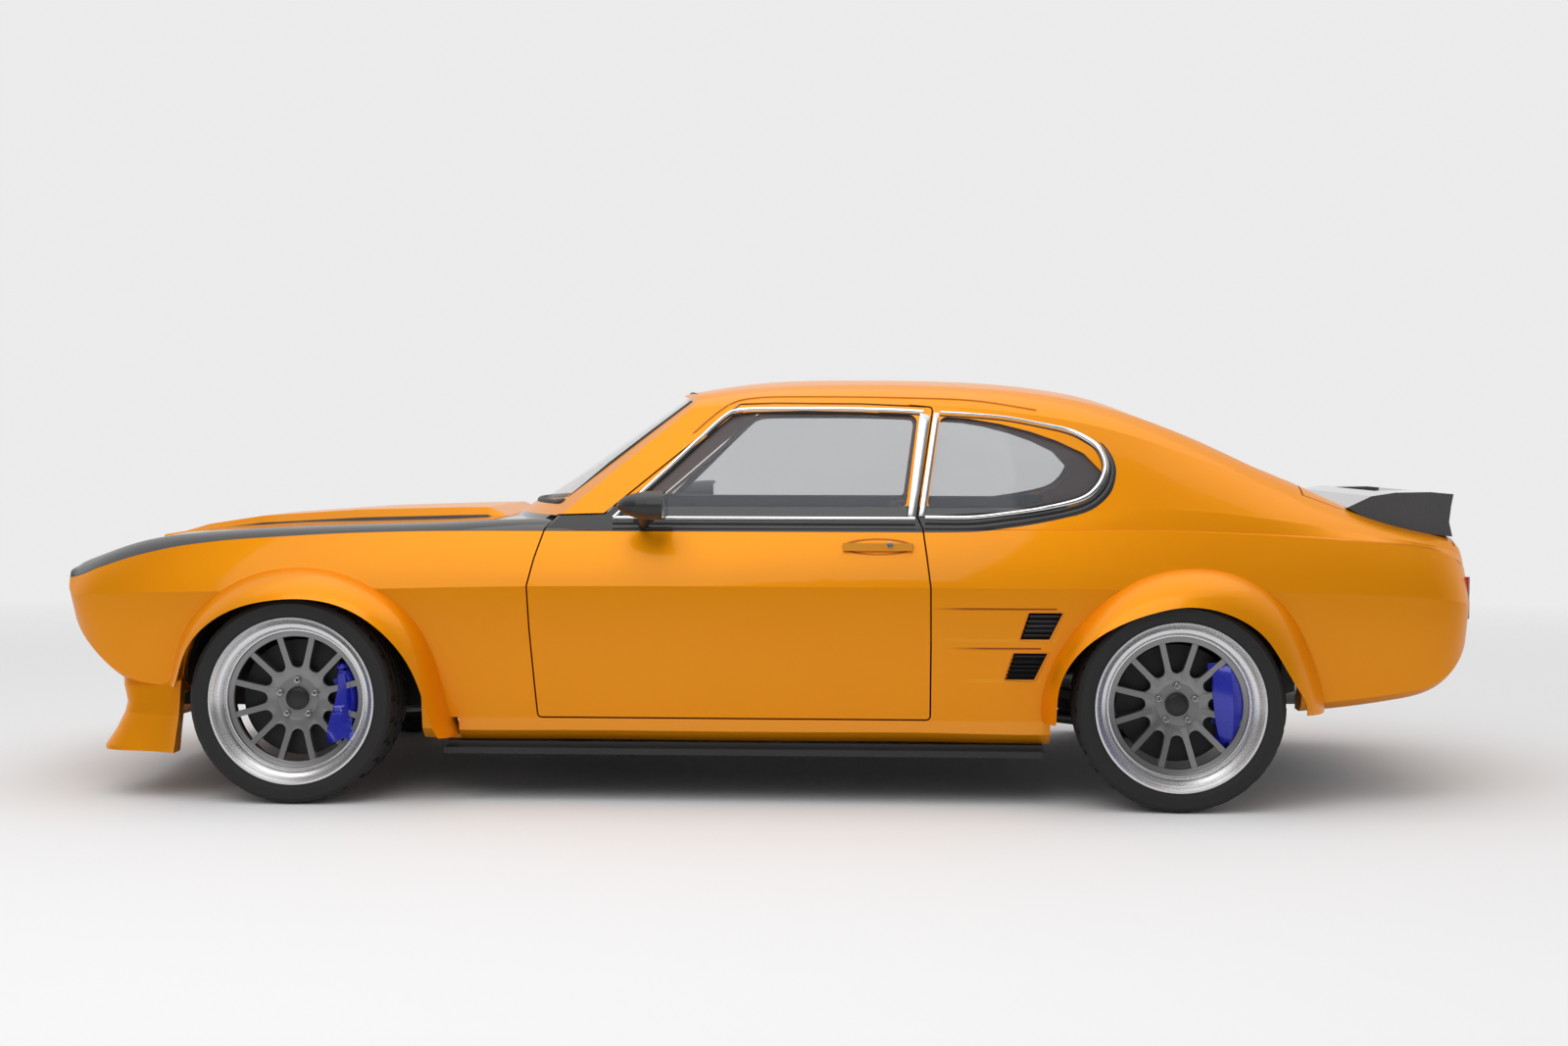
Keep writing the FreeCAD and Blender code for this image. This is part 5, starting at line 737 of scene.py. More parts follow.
# Grey rings round the quarter window: offsets, thickness, lift and share where thin
RING_PARTS = (("inner", 0.008, 0.006, 0.0062, -0.0015, 0.45),
              ("outer", 0.013, 0.016, 0.0140, -0.0085, 0.55))
BELT_Z = 0.8315
BELT_START, BELT_LENGTH, BELT_STEPS = -0.425, 0.884, 34
BELT_PARTS = (
    ("edge", 0.0, 0.0062, -0.001), ("band_high", 0.0135, 0.0066, -0.0015),
    ("band_low", 0.0280, 0.0140, -0.0085),
)

# Dark feet of the panes above the belt, in side view
DOOR_PANE_FOOT = ((-0.395, 0.836), (0.433, 0.836), (0.437, 0.864), (-0.380, 0.864))
QUARTER_PANE_FOOT = ((0.489, 0.839), (0.800, 0.857), (0.800, 0.862), (0.4925, 0.862))

# Screens: name, node, way its face looks, least agreement with it, lift and thickness of the gasket
SCREENS = (("windscreen", "windscreen", (-0.6, 0, 0.8), 0.3, 0.004, 0.0105),
           ("rear_window", "rear_glass", (0.45, 0, 0.9), 0.75, -0.004, 0.007))


def window_line(name, places, sign, radius, lift, finish, body, shares=None):
    """Bead along side-view places on the skin."""
    spots = []
    for i, (x, z) in enumerate(places):
        spot = skin(x, z, sign, lift)
        spots.append((*spot, shares[i]) if shares else tuple(spot))
    keep(bead(spots, radius), name, finish, body, 40)


def side_trims(side, sign):
    """Bright and black strips round the windows of one side."""
    door = "door_%s_body" % side
    front = list(reversed(flowing(DOOR_RING)))
    window_line("door_window_trim_" + side, front, sign, 0.0070, -0.001, chrome, door)
    window_line("door_window_gasket_" + side, beside(front, -0.0095), sign, 0.0040, -0.003, rubber, door)
    ring = flowing(QUARTER_RING)
    thick = [1.0 + 0.5 * max(0.0, min(1.0, (x - 0.80) / 0.2)) - 0.35 * max(0.0, min(1.0, (z - 1.07) / 0.04))
             for x, z in ring]
    window_line("quarter_window_trim_" + side, ring, sign, 0.0068, 0.0, chrome, "body", thick)
    window_line("quarter_window_gasket_" + side, beside(ring, -0.010), sign, 0.0042, -0.003, rubber, "body")
    outer = [place for place in ring if place[1] < 1.06]
    fade = [max(0.0, min(1.0, 1.0 - (z - 0.93) / 0.14)) if x > 0.9 else 1.0 for x, z in outer]
    for name, near, spread, thick, lift, thin in RING_PARTS:
        window_line("quarter_ring_%s_%s" % (name, side), beside(outer, [near + spread * f for f in fade]), sign,
                    thick, lift, moulding_grey, "body", [thin + (1.0 - thin) * f for f in fade])
    for name, body, corners in PILLAR_STRIPS:
        strip = plate(corners, sign, 0.0035, 0.006, rows=12, round_off=0.0015)
        keep(strip, name + "_" + side, brushed_chrome, body % side if "%" in body else body, 40)
    pane = plate(DOOR_PANE_FOOT, sign, 0.0015, 0.003, 2, 24)
    keep(pane, "door_pane_foot_" + side, dark_pane, door, 30)
    pane = plate(QUARTER_PANE_FOOT, sign, 0.0015, 0.003, 2, 10)
    keep(pane, "quarter_pane_foot_" + side, dark_pane, "body", 30)


def belt_moulding(side, sign):
    """Satin band under the door window, with its bright upper edge."""
    places = [BELT_START + BELT_LENGTH * i / BELT_STEPS for i in range(BELT_STEPS + 1)]
    for part, drop, thick, lift in BELT_PARTS:
        window_line("door_belt_%s_%s" % (part, side), [(x, BELT_Z - drop) for x in places], sign, thick,
                    lift, moulding_grey if drop else chrome, "door_%s_body" % side)


def screen_rubbers():
    """Black gaskets round the windscreen and the rear window."""
    for name, node, facing, least, lift, thick in SCREENS:
        both_sides = []
        for frames in pane_loops(node, facing, least):
            reach = [spot.y for spot, _, _ in frames]
            if min(reach) < -0.2 and max(reach) > 0.2:
                both_sides.append(frames)
        frames = max(both_sides, key=len)
        gasket = bead(along(frames, 0.002, lift), thick, closed=True)
        keep(gasket, name + "_gasket", rubber, crease=40)


for side, sign in SIDES:
    side_trims(side, sign)
    belt_moulding(side, sign)
screen_rubbers()


# Tyres and wheels

TYRE_STEPS = 120
NUT_CIRCLE = 0.054
NUT_COUNT = 5
SET_BACK = {"front": 0.081, "rear": 0.101}

# Half sections of the tyre: radius and distance from its middle plane
TREAD_SECTION = (
    (0.2290, 0.0985), (0.2400, 0.1015), (0.2445, 0.1045), (0.2475, 0.1085), (0.2520, 0.1088),
    (0.2545, 0.1105), (0.2630, 0.1122), (0.2740, 0.1125), (0.2800, 0.1122), (0.2812, 0.1128),
    (0.2835, 0.1126), (0.2850, 0.1108), (0.2905, 0.1075), (0.2950, 0.1020), (0.2975, 0.0960),
    (0.2990, 0.0880), (0.2999, 0.0720), (0.2999, 0.0650), (0.2930, 0.0636), (0.2930, 0.0560),
    (0.3003, 0.0546), (0.3008, 0.0240), (0.2935, 0.0226), (0.2935, 0.0130), (0.3009, 0.0116),
)
TYRE_CAVITY = ((0.2370, 0.0910), (0.2630, 0.1040), (0.2840, 0.0990), (0.2890, 0.0700), (0.2895, 0.0))


def tyre_piece(hub_x, middle):
    """Low tyre with a cut tread: four grooves round it, and slots across its shoulders and ribs."""
    outer = [(r, -h) for r, h in TREAD_SECTION]
    inner = [(r, h) for r, h in reversed(TREAD_SECTION)]
    cavity = [(r, h) for r, h in TYRE_CAVITY] + [(r, -h) for r, h in reversed(TYRE_CAVITY[:-1])]
    tyre = lathe(outer + inner + cavity, (hub_x, middle, HUB_Z), TYRE_STEPS)

    def place(face):
        spot = face.calc_center_median()
        dx, dz = spot.x - hub_x, spot.z - HUB_Z
        column = int(round((math.atan2(dz, dx) / math.tau + 1.0) * TYRE_STEPS - 0.5))
        return math.hypot(dx, dz), abs(spot.y - middle), column, spot.y > middle

    def slot(face):
        radius, reach, column, far = place(face)
        if radius < 0.2955:
            return False
        if reach > 0.066:
            return (column + 2 * far) % 4 == 0
        return 0.026 < reach < 0.055 and (column + 1) % 4 == 0

    choose(tyre, slot)
    bpy.ops.mesh.extrude_region_shrink_fatten(TRANSFORM_OT_shrink_fatten={"value": -0.0050})
    done()
    return tyre


def nut(centre, sign):
    """Chamfered hexagon wheel nut with a dished end."""
    bpy.ops.object.select_all(action="DESELECT")
    bpy.ops.mesh.primitive_cylinder_add(vertices=6, radius=0.0098, depth=0.012, location=centre,
                                        rotation=(math.radians(90), 0.0, 0.0))
    piece = bpy.context.object
    bpy.ops.object.transform_apply(location=True, rotation=True, scale=True)
    finish_with(piece, "BEVEL", width=0.0012, segments=2, limit_method="ANGLE")
    choose(piece, lambda face: face.normal.y * sign > 0.99)
    bpy.ops.mesh.inset(thickness=0.003)
    bpy.ops.transform.translate(value=(0.0, -sign * 0.003, 0.0))
    done()
    return piece


def wheel_extras(end, hub_x, lip, side, sign, body):
    """Nuts, cap and cap ring of one wheel."""
    face = sign * (lip - SET_BACK[end])
    nuts = []
    for index in range(NUT_COUNT):
        angle = math.tau * index / NUT_COUNT + math.radians(90)
        dx, dz = NUT_CIRCLE * math.cos(angle), NUT_CIRCLE * math.sin(angle)
        nuts.append(nut((hub_x + dx, face + sign * 0.006, HUB_Z + dz), sign))
    keep(joined(nuts), "wheel_nuts_%s_%s" % (end, side), bright_nut, body, 30)
    centre = (hub_x, face, HUB_Z)
    ring = lathe([(0.0305, 0.0), (0.0335, 0.0), (0.0340, sign * 0.008), (0.0325, sign * 0.0125),
                  (0.0305, sign * 0.0125)], centre, 48)
    keep(ring, "hub_cap_ring_%s_%s" % (end, side), satin_black, body, 30)
    cap = lathe([(0.0300, 0.002), (0.0300, sign * 0.0115), (0.0240, sign * 0.0135), (0.0232, sign * 0.0120),
                 (0.0120, sign * 0.0130), (0.0004, sign * 0.0133), (0.0004, 0.002)], centre, 48)
    keep(cap, "hub_cap_%s_%s" % (end, side), satin_black, body, 30)


for side, sign in SIDES:
    for end, hub_x, lip in AXLES:
        body = "wheel_%s_%s_body" % (end, side)
        low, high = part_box("tyre_%s_%s" % (end, side))
        tyre = tyre_piece(hub_x, (low[1] + high[1]) / 2)
        keep(tyre, "tyre_tread_%s_%s" % (end, side), tyre_rubber, body, 35)
        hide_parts("tyre_%s_%s" % (end, side))
        wheel_extras(end, hub_x, lip, side, sign, body)


# Wheel faces and calipers

SPOKES = 12
WEB_ROOT = 0.060
GAP_CENTRE = 0.1080
GAP_RADIUS = 0.0183
WEB_REACH = 0.1180
SPOKE_HALF = 0.0092
CALIPER_ARC = (38.0, -42.0, 0.1890)
CALIPER_EDGE = 0.114
CALIPER_HEIGHT = 0.236
CALIPER_DROP = -0.008
CALIPER_FACE = 0.7915
REAR_TUCK = 0.020
BOLT_PLACES = ((0.1300, 0.098), (0.1300, -0.112))

# Turned ring and bright steps inside the rim of a front wheel: radius and distance from the car's middle
FRONT_LIP = AXLES[0][2]
RIM_RING = ((0.1830, 0.8130), (0.1830, 0.8235), (0.1842, 0.8262), (0.1870, 0.8275), (0.1960, 0.8285),
            (0.1985, 0.8300), (0.1985, 0.8130))
LIP_STEPS = (("lip_step_inner_", 0.1995, 0.2045, 0.8360), ("lip_step_outer_", 0.2105, 0.2145, 0.8480))


def hub_web(hub_x, face, sign):
    """Webs that join the spokes round the hub with a rounded end to each gap."""
    outline = []
    for index in range(SPOKES):
        middle = math.tau * index / SPOKES
        swing = math.atan2(SPOKE_HALF, WEB_REACH)
        half = math.pi / SPOKES
        outline.append((WEB_REACH, middle - half + swing))
        for step in range(11):
            turn = math.radians(-78.0 + 156.0 * step / 10)
            dx = GAP_CENTRE - GAP_RADIUS * math.cos(turn)
            dz = GAP_RADIUS * math.sin(turn)
            outline.append((math.hypot(dx, dz), middle + math.atan2(dz, dx)))
        outline.append((WEB_REACH, middle + half - swing))
    rings = []
    for least in (False, True):
        spots = []
        for radius, angle in outline:
            r = WEB_ROOT if least else radius
            height = face + sign * (0.0006 + (r - WEB_ROOT) * 0.105)
            spots.append((hub_x + r * math.cos(angle), height, HUB_Z + r * math.sin(angle)))
        ring = path(spots, True)
        pick(ring)
        bpy.ops.object.convert(target="MESH")
        rings.append(bpy.context.object)
    web = joined(rings)
    edit(web, "EDGE")
    bpy.ops.mesh.select_all(action="SELECT")
    bpy.ops.mesh.bridge_edge_loops()
    done()
    tidy_mesh(web)
    if web.data.polygons[0].normal.y * sign < 0:
        web.data.flip_normals()
    finish_with(web, "SOLIDIFY", thickness=0.015, offset=-1.0)
    finish_with(web, "BEVEL", width=0.0016, segments=3, limit_method="ANGLE")
    return web


def caliper_cover(hub_x, out, sign):
    """Four-pot caliper body: a curved block with a straight inner edge, ribs and rounded corners."""
    start, end, reach = CALIPER_ARC
    edges = []
    for least in (True, False):
        spots = []
        for step in range(19):
            share = step / 18
            angle = math.radians(start + (end - start) * share)
            pinch = 0.010 * max(0.0, abs(share - 0.5) * 2 - 0.8) / 0.2
            dx, dz = reach * math.cos(angle) - pinch, reach * math.sin(angle)
            if least:
                dx, dz = CALIPER_EDGE + pinch, (0.5 - share) * CALIPER_HEIGHT + CALIPER_DROP
            spots.append((hub_x + dx, sign * out, HUB_Z + dz))
        edge = path(spots)
        pick(edge)
        bpy.ops.object.convert(target="MESH")
        edges.append(bpy.context.object)
    cover = joined(edges)
    edit(cover, "EDGE")
    bpy.ops.mesh.select_all(action="SELECT")
    bpy.ops.mesh.bridge_edge_loops(number_cuts=3)
    done()
    tidy_mesh(cover)
    if cover.data.polygons[0].normal.y * sign < 0:
        cover.data.flip_normals()
    finish_with(cover, "SOLIDIFY", thickness=0.040, offset=-1.0)
    choose(cover, lambda part: part.normal.y * sign > 0.99)
    bpy.ops.mesh.inset(thickness=0.005)
    bpy.ops.transform.translate(value=(0.0, sign * 0.003, 0.0))
    bpy.ops.mesh.inset(thickness=0.011)
    bpy.ops.transform.translate(value=(0.0, -sign * 0.0025, 0.0))
    done()
    finish_with(cover, "BEVEL", width=0.0022, segments=3, limit_method="ANGLE",
                angle_limit=math.radians(25))
    return cover


def stud(centre, sign, radius, height):
    """Round bolt head with a bevelled rim and a socket."""
    bpy.ops.object.select_all(action="DESELECT")
    bpy.ops.mesh.primitive_cylinder_add(vertices=24, radius=radius, depth=height, location=centre,
                                        rotation=(math.radians(90), 0.0, 0.0))
    piece = bpy.context.object
    bpy.ops.object.transform_apply(location=True, rotation=True, scale=True)
    choose(piece, lambda part: part.normal.y * sign > 0.99)
    bpy.ops.mesh.inset(thickness=radius * 0.5)
    bpy.ops.transform.translate(value=(0.0, -sign * height * 0.4, 0.0))
    done()
    finish_with(piece, "BEVEL", width=radius * 0.12, segments=2, limit_method="ANGLE")
    return piece


def wheel_face(end, hub_x, lip, side, sign, body):
    """Hub web, gunmetal ring and bright steps of one wheel."""
    face = sign * (lip - SET_BACK[end])
    tag = "%s_%s" % (end, side)
    keep(hub_web(hub_x, face, sign), "hub_web_" + tag, gunmetal, body, 35)
    out = sign * (lip - FRONT_LIP)
    ring = lathe([(radius, sign * reach + out) for radius, reach in RIM_RING], (hub_x, 0.0, HUB_Z), 96)
    keep(ring, "rim_ring_" + tag, gunmetal, body, 35)
    for name, low, high, depth in LIP_STEPS:
        step = lathe([(low, sign * (depth - 0.010) + out), (low, sign * depth + out),
                      (low + 0.0012, sign * (depth + 0.0018) + out),
                      (high - 0.001, sign * (depth + 0.0020) + out),
                      (high, sign * (depth + 0.0005) + out), (high, sign * (depth - 0.010) + out)],
                     (hub_x, 0.0, HUB_Z), 96)
        keep(step, name + tag, polished_rim, body, 35)


def caliper_set(end, hub_x, lip, side, sign):
    """Caliper body with its bolts behind one wheel."""
    body = "knuckle_%s_body" % side if end == "front" else "body"
    out = CALIPER_FACE if end == "front" else CALIPER_FACE + lip - FRONT_LIP - REAR_TUCK
    keep(caliper_cover(hub_x, out, sign), "caliper_body_%s_%s" % (end, side), caliper_blue, body, 35)
    bolts = [stud((hub_x + dx, sign * (out + 0.003), HUB_Z + dz), sign, 0.0065, 0.010)
             for dx, dz in BOLT_PLACES]
    keep(joined(bolts), "caliper_bolts_%s_%s" % (end, side), bright_nut, body, 30)


gunmetal = satin_finish("wheel_gunmetal", (0.26, 0.26, 0.26, 1.0), 0.38, 420.0, 0.12, 0.9)
polished_rim = satin_finish("polished_rim", (0.86, 0.86, 0.87, 1.0), 0.16, 500.0, 0.04, 1.0)
caliper_blue = satin_finish("caliper_blue", (0.010, 0.016, 0.34, 1.0), 0.26, 300.0, 0.10, 0.25,
                            Coat_Weight=0.8)
for side, sign in SIDES:
    for end, hub_x, lip in AXLES:
        wheel_face(end, hub_x, lip, side, sign, "wheel_%s_%s_body" % (end, side))
        caliper_set(end, hub_x, lip, side, sign)


# Door locks and vents

LOCK_SPOT = (0.3865, 0.7577)
SLAT_COUNT = 5
SLAT_CORNERS = {(True, True): (0.0020, -0.0020), (False, True): (0.0032, -0.0035),
                (False, False): (-0.0060, -0.0135), (True, False): (-0.0068, -0.0120)}


def vent_slats(side, sign):
    """Sloping blades and a thin rolled rim in each louvred vent."""
    for row, ((low_x, low_z), (high_x, high_z), high_width, low_width) in enumerate(VENTS):
        blades = []
        for index in range(SLAT_COUNT):
            share = (index + 0.85) / (SLAT_COUNT + 0.6)
            x0 = low_x + (high_x - low_x) * share + 0.003
            x1 = x0 + low_width + (high_width - low_width) * share - 0.006
            z = low_z + (high_z - low_z) * share
            front, back = skin(x0 - 0.010, z, sign), skin(x1 + 0.012, z, sign)
            blade = block((x0, -0.5, -0.5), (x1, 0.5, 0.5))
            for vertex in blade.data.vertices:
                end_spot = front if vertex.co.x < (x0 + x1) / 2 else back
                dz, depth = SLAT_CORNERS[(vertex.co.y > 0, vertex.co.z > 0)]
                vertex.co.y = end_spot.y + sign * depth
                vertex.co.z = z + dz
            blades.append(blade)
        slats = joined(blades)
        tidy_mesh(slats)
        finish_with(slats, "BEVEL", width=0.0004, segments=1, limit_method="ANGLE")
        keep(slats, "vent_slats_%d_%s" % (row, side), slat_grey, "body", 30)
        corners = [(low_x, low_z), (low_x + low_width, low_z), (high_x + high_width, high_z),
                   (high_x, high_z)]
        outline = []
        for (x0, z0), (x1, z1) in zip(corners, corners[1:] + corners[:1]):
            outline += [(x0 + (x1 - x0) * i / 8, z0 + (z1 - z0) * i / 8) for i in range(8)]
        rim = []
        cx, cz = (low_x + high_x + high_width) / 2, (low_z + high_z) / 2
        for x, z in outline:
            grow = 1.0 + 0.006 / math.hypot(x - cx, z - cz)
            rim.append(tuple(skin(cx + (x - cx) * grow, cz + (z - cz) * grow, sign, -0.0008)))
        keep(bead(rim, 0.0018, True), "vent_rim_%d_%s" % (row, side), panel_orange, "body", 40)


def handle_fittings(side, sign):
    """Bright lock barrel beside the door handle."""
    door = "door_%s_body" % side
    spot = skin(*LOCK_SPOT, sign)
    handle_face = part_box("door_handle_" + side)[0 if sign < 0 else 1][1]
    centre = (spot.x, handle_face, spot.z)
    barrel = lathe([(0.0085, 0.0), (0.0092, 0.0), (0.0092, sign * 0.0040), (0.0080, sign * 0.0052),
                    (0.0060, sign * 0.0050), (0.0055, sign * 0.0040), (0.0003, sign * 0.0038),
                    (0.0003, 0.0)], centre, 40)
    keep(barrel, "door_lock_" + side, bright_nut, door, 30)


slat_grey = satin_finish("slat_grey", (0.050, 0.052, 0.054, 1.0), 0.40, 400.0, 0.08)
panel_orange = satin_finish("vent_orange", (0.62, 0.19, 0.001, 1.0), 0.36, 600.0, 0.05, 0.3,
                            Coat_Weight=0.6)
for side, sign in SIDES:
    vent_slats(side, sign)
    handle_fittings(side, sign)


# Seats and cabin

FRONT_SEAT_Y = 0.350
LEAN_POINT = (0.320, 0.420)
DIAL_X, DIAL_Y, DIAL_Z = -0.4015, -0.350, 0.735
DIALS = ((-0.105, 0.048), (0.0, 0.048), (0.092, 0.026), (0.152, 0.026))


def cushion(low, high, crown, seams=(), side_seams=(), lean=0.0, pivot=None, wrap=0.0, grain=18):
    """Crowned pad between two corners, its sides pulled in between them, with sewn channels across it.

    The pad's thickness is its third measure; a lean turns it back about a level line through the pivot.
    """
    piece = block(low, high)
    edit(piece)
    bpy.ops.mesh.select_all(action="SELECT")
    bpy.ops.mesh.subdivide(number_cuts=grain)
    done()
    middle = [(a + b) / 2 for a, b in zip(low, high)]
    half = [(b - a) / 2 for a, b in zip(low, high)]
    for vertex in piece.data.vertices:
        u, v, w = [(vertex.co[i] - middle[i]) / half[i] for i in range(3)]
        swell = (1 - u * u) * (1 - v * v)
        round_off = 1.0 - 0.10 * (abs(u) ** 6 + abs(v) ** 6) * 0.5
        level = w * (1.0 - 0.42 * (abs(u) ** 5 + abs(v) ** 5) / 2)
        groove = sum(math.exp(-((u - seam) / 0.045) ** 2) for seam in seams)
        groove += sum(math.exp(-((v - seam) / 0.045) ** 2) for seam in side_seams)
        rise = crown * swell - 0.55 * crown * min(1.0, groove)
        bolster = wrap * max(0.0, (abs(v) - 0.62) / 0.38) ** 1.5 * (1 - abs(u) ** 4)
        pulled = 0.03 * (1 - w * w)
        vertex.co = (middle[0] + half[0] * u * (round_off - pulled * (1 - v * v)),
                     middle[1] + half[1] * v * (round_off - pulled * (1 - u * u)),
                     middle[2] + half[2] * level
                     + (rise + bolster if w > 0 else -0.25 * crown * swell) * abs(w))
    if lean:
        turn = Matrix.Translation(pivot) @ Matrix.Rotation(lean, 4, "Y") @ Matrix.Translation(
            [-c for c in pivot])
        piece.data.transform(turn)
    finish_with(piece, "SUBSURF", levels=1, render_levels=1)
    tidy_mesh(piece, 0.00001)
    return piece


def front_seat(side, y):
    """Bucket seat: cushion, back and head pad, base and runners. Gives its pads."""
    lean, pivot = math.radians(-76), (LEAN_POINT[0], y, LEAN_POINT[1])
    made = []
    pad = cushion((-0.150, y - 0.205, 0.330), (0.345, y + 0.205, 0.440), 0.022, (-0.45, 0.0, 0.45),
                  (-0.5, 0.5), wrap=0.035)
    made.append(keep(pad, "seat_cushion_" + side, seat_cloth, "body", 60))
    back = cushion((0.290, y - 0.205, 0.385), (0.790, y + 0.205, 0.480), 0.020, (-0.6, -0.2, 0.2, 0.6),
                   (-0.5, 0.5), lean, pivot, wrap=0.040)
    back.data.transform(Matrix.Translation((0.015, 0.0, -0.020)))
    made.append(keep(back, "seat_back_" + side, seat_cloth, "body", 60))
    head = cushion((0.735, y - 0.120, 0.395), (0.880, y + 0.120, 0.475), 0.014, (), (), lean, pivot,
                   grain=10)
    head.data.transform(Matrix.Translation((0.008, 0.0, -0.110)))
    made.append(keep(head, "seat_head_pad_" + side, seat_cloth, "body", 60))
    base = block((-0.130, y - 0.185, 0.290), (0.330, y + 0.185, 0.352), 0.012, 3)
    keep(base, "seat_base_" + side, satin_black, "body", 30)
    rails = [block((-0.140, y + dy - 0.018, 0.226), (0.345, y + dy + 0.018, 0.292), 0.004)
             for dy in (-0.15, 0.15)]
    keep(joined(rails), "seat_runners_" + side, steel, "body", 30)
    return made


def cloth_finish(name, colour):
    """Woven seat cloth with a fine ribbed weave and paler wear."""
    cloth = Finish(name, colour, 0.85, 0.0)
    x, y, z, vector = cloth.place()
    weave = cloth.noise(vector, 900.0, 2.0)
    wear = cloth.noise(vector, 9.0, 3.0)
    ribs = (y * 1900.0).math("SINE", y * 1900.0) * 0.5 + 0.5
    paler = tuple(c * 2.2 + 0.006 for c in colour[:3]) + (1.0,)
    cloth.set("Base Color", cloth.mix(wear * 0.5 + ribs * 0.2, colour, paler))
    cloth.set("Roughness", 0.80 + weave * 0.15)
    cloth.bump(weave * 0.6 + ribs * 0.4, 0.5, 0.0008)
    return cloth


seat_cloth = cloth_finish("seat_cloth", (0.016, 0.016, 0.017, 1.0))
pads = []
for side, sign in SIDES:
    pads += front_seat(side, sign * FRONT_SEAT_Y)
bench = cushion((0.640, -0.465, 0.395), (1.050, 0.465, 0.500), 0.026, (0.0,), (-0.5, 0.0, 0.5), wrap=0.015,
                grain=22)
pads.append(keep(bench, "bench_cushion", seat_cloth, "body", 60))
bench_back = cushion((1.000, -0.465, 0.420), (1.420, 0.465, 0.510), 0.022, (-0.3, 0.3), (-0.5, 0.0, 0.5),
                     math.radians(-72), (1.010, 0.0, 0.470), wrap=0.010, grain=22)
pads.append(keep(bench_back, "bench_back", seat_cloth, "body", 60))
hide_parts("front_seats")
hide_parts("rear_seat")


def gauges():
    """Row of round dials with bright rims on the dashboard."""
    rims, faces = [], []
    for dy, radius in DIALS:
        spot = (DIAL_X, DIAL_Y + dy, DIAL_Z)
        rims.append(lathe([(radius, 0.0), (radius + 0.004, 0.0), (radius + 0.004, 0.010), (radius, 0.012)],
                          spot, 48, axis=ALONG))
        faces.append(lathe([(radius, 0.0), (radius, 0.006), (0.006, 0.0055), (0.0045, 0.0095),
                            (0.0003, 0.0100), (0.0003, 0.0)], spot, 48, axis=ALONG))
    keep(joined(rims), "gauge_rims", bright_nut, "body", 30)
    keep(joined(faces), "gauge_faces", satin_black, "body", 30)


gauges()
lever = bead([(-0.050, 0.0, 0.480), (-0.060, 0.0, 0.560), (-0.085, 0.0, 0.640)], 0.0075)
keep(lever, "gear_lever", bright_nut, "body", 40)
knob = lathe([(0.0003, -0.024), (0.012, -0.022), (0.021, -0.012), (0.024, 0.0), (0.021, 0.013),
              (0.012, 0.021), (0.0003, 0.024)], (-0.088, 0.0, 0.655), 32)
keep(knob, "gear_knob", satin_black, "body", 60)
mirror_arm = bead([(-0.300, 0.0, 1.150), (-0.290, 0.0, 1.105), (-0.275, 0.0, 1.090)], 0.005)
keep(mirror_arm, "cabin_mirror_arm", satin_black, "body", 40)
cabin_mirror = block((-0.284, -0.115, 1.058), (-0.262, 0.115, 1.112), 0.010, 4)
choose(cabin_mirror, lambda part: part.normal.x > 0.99)
bpy.ops.mesh.inset(thickness=0.004)
bpy.ops.transform.translate(value=(-0.002, 0.0, 0.0))
done()
keep(cabin_mirror, "cabin_mirror", satin_black, "body", 40)


# Lamps, mirrors, drip rails and exhaust ends

HEAD_LAMPS = (-0.508, -0.348, 0.348, 0.508)
LAMP_Z = 0.555
LAMP_FACE = -2.0860
BEZEL_SECTION = ((0.0660, 0.010), (0.0735, 0.010), (0.0750, 0.000), (0.0735, -0.0050), (0.0700, -0.0065),
                 (0.0665, -0.0040))
LENS_SECTION = ((0.0003, -0.0090), (0.0200, -0.0085), (0.0400, -0.0065), (0.0560, -0.0035),
                (0.0655, 0.0005), (0.0655, 0.0035), (0.0560, -0.0005), (0.0003, -0.0055))
TIP_SECTION = ((0.0235, -0.070), (0.0262, -0.070), (0.0268, 0.000), (0.0262, 0.0030), (0.0245, 0.0035),
               (0.0232, 0.0010))
PIPE_PLACES = ((1.9720, -0.287, 0.314), (1.9720, -0.213, 0.314))
DRIP_LINE = ((-0.200, 1.080), (-0.105, 1.160), (-0.020, 1.186), (0.160, 1.190), (0.420, 1.187),
             (0.640, 1.178), (0.820, 1.150))
TAIL_LAMP_INNER, TAIL_LAMP_OUTER = 0.330, 0.590


def head_lamp(index, y):
    """Bright bezel and domed lens of one round headlamp."""
    spot = (LAMP_FACE, y, LAMP_Z)
    bezel = lathe(BEZEL_SECTION, spot, 64, axis=ALONG)
    keep(bezel, "headlamp_bezel_%d" % index, chrome, "body", 40)
    lens = lathe(LENS_SECTION, spot, 64, axis=ALONG)
    keep(lens, "headlamp_lens_%d" % index, lamp_lens, "body", 50)


def mirror_glass(side, sign):
    """Mirror pane set in the back of the door mirror."""
    low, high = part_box("mirror_" + side)
    middle = (low[1] + high[1]) / 2 + sign * 0.030
    pane = block((high[0] - 0.0010, middle - 0.062, 0.838), (high[0] + 0.0016, middle + 0.062, 0.904),
                 0.0010)
    choose(pane, lambda part: part.normal.x > 0.99)
    bpy.ops.mesh.inset(thickness=0.005)
    bpy.ops.transform.translate(value=(-0.0010, 0.0, 0.0))
    done()
    keep(pane, "mirror_glass_" + side, mirror_silver, "door_%s_body" % side, 30)


def drip_rail(side, sign):
    """Rain channel along the roof's edge above the windows."""
    spots = [tuple(skin(x, z, sign, 0.0006)) for x, z in flowing(DRIP_LINE, 0.020)]
    keep(bead(spots, 0.0032), "drip_rail_" + side, panel_orange, "body", 40)


def pipe_tip(index, place):
    """Rolled bright tip on one tail pipe."""
    tip = lathe(TIP_SECTION, place, 48, axis=ALONG)
    keep(tip, "pipe_tip_%d" % index, chrome, "body", 40)


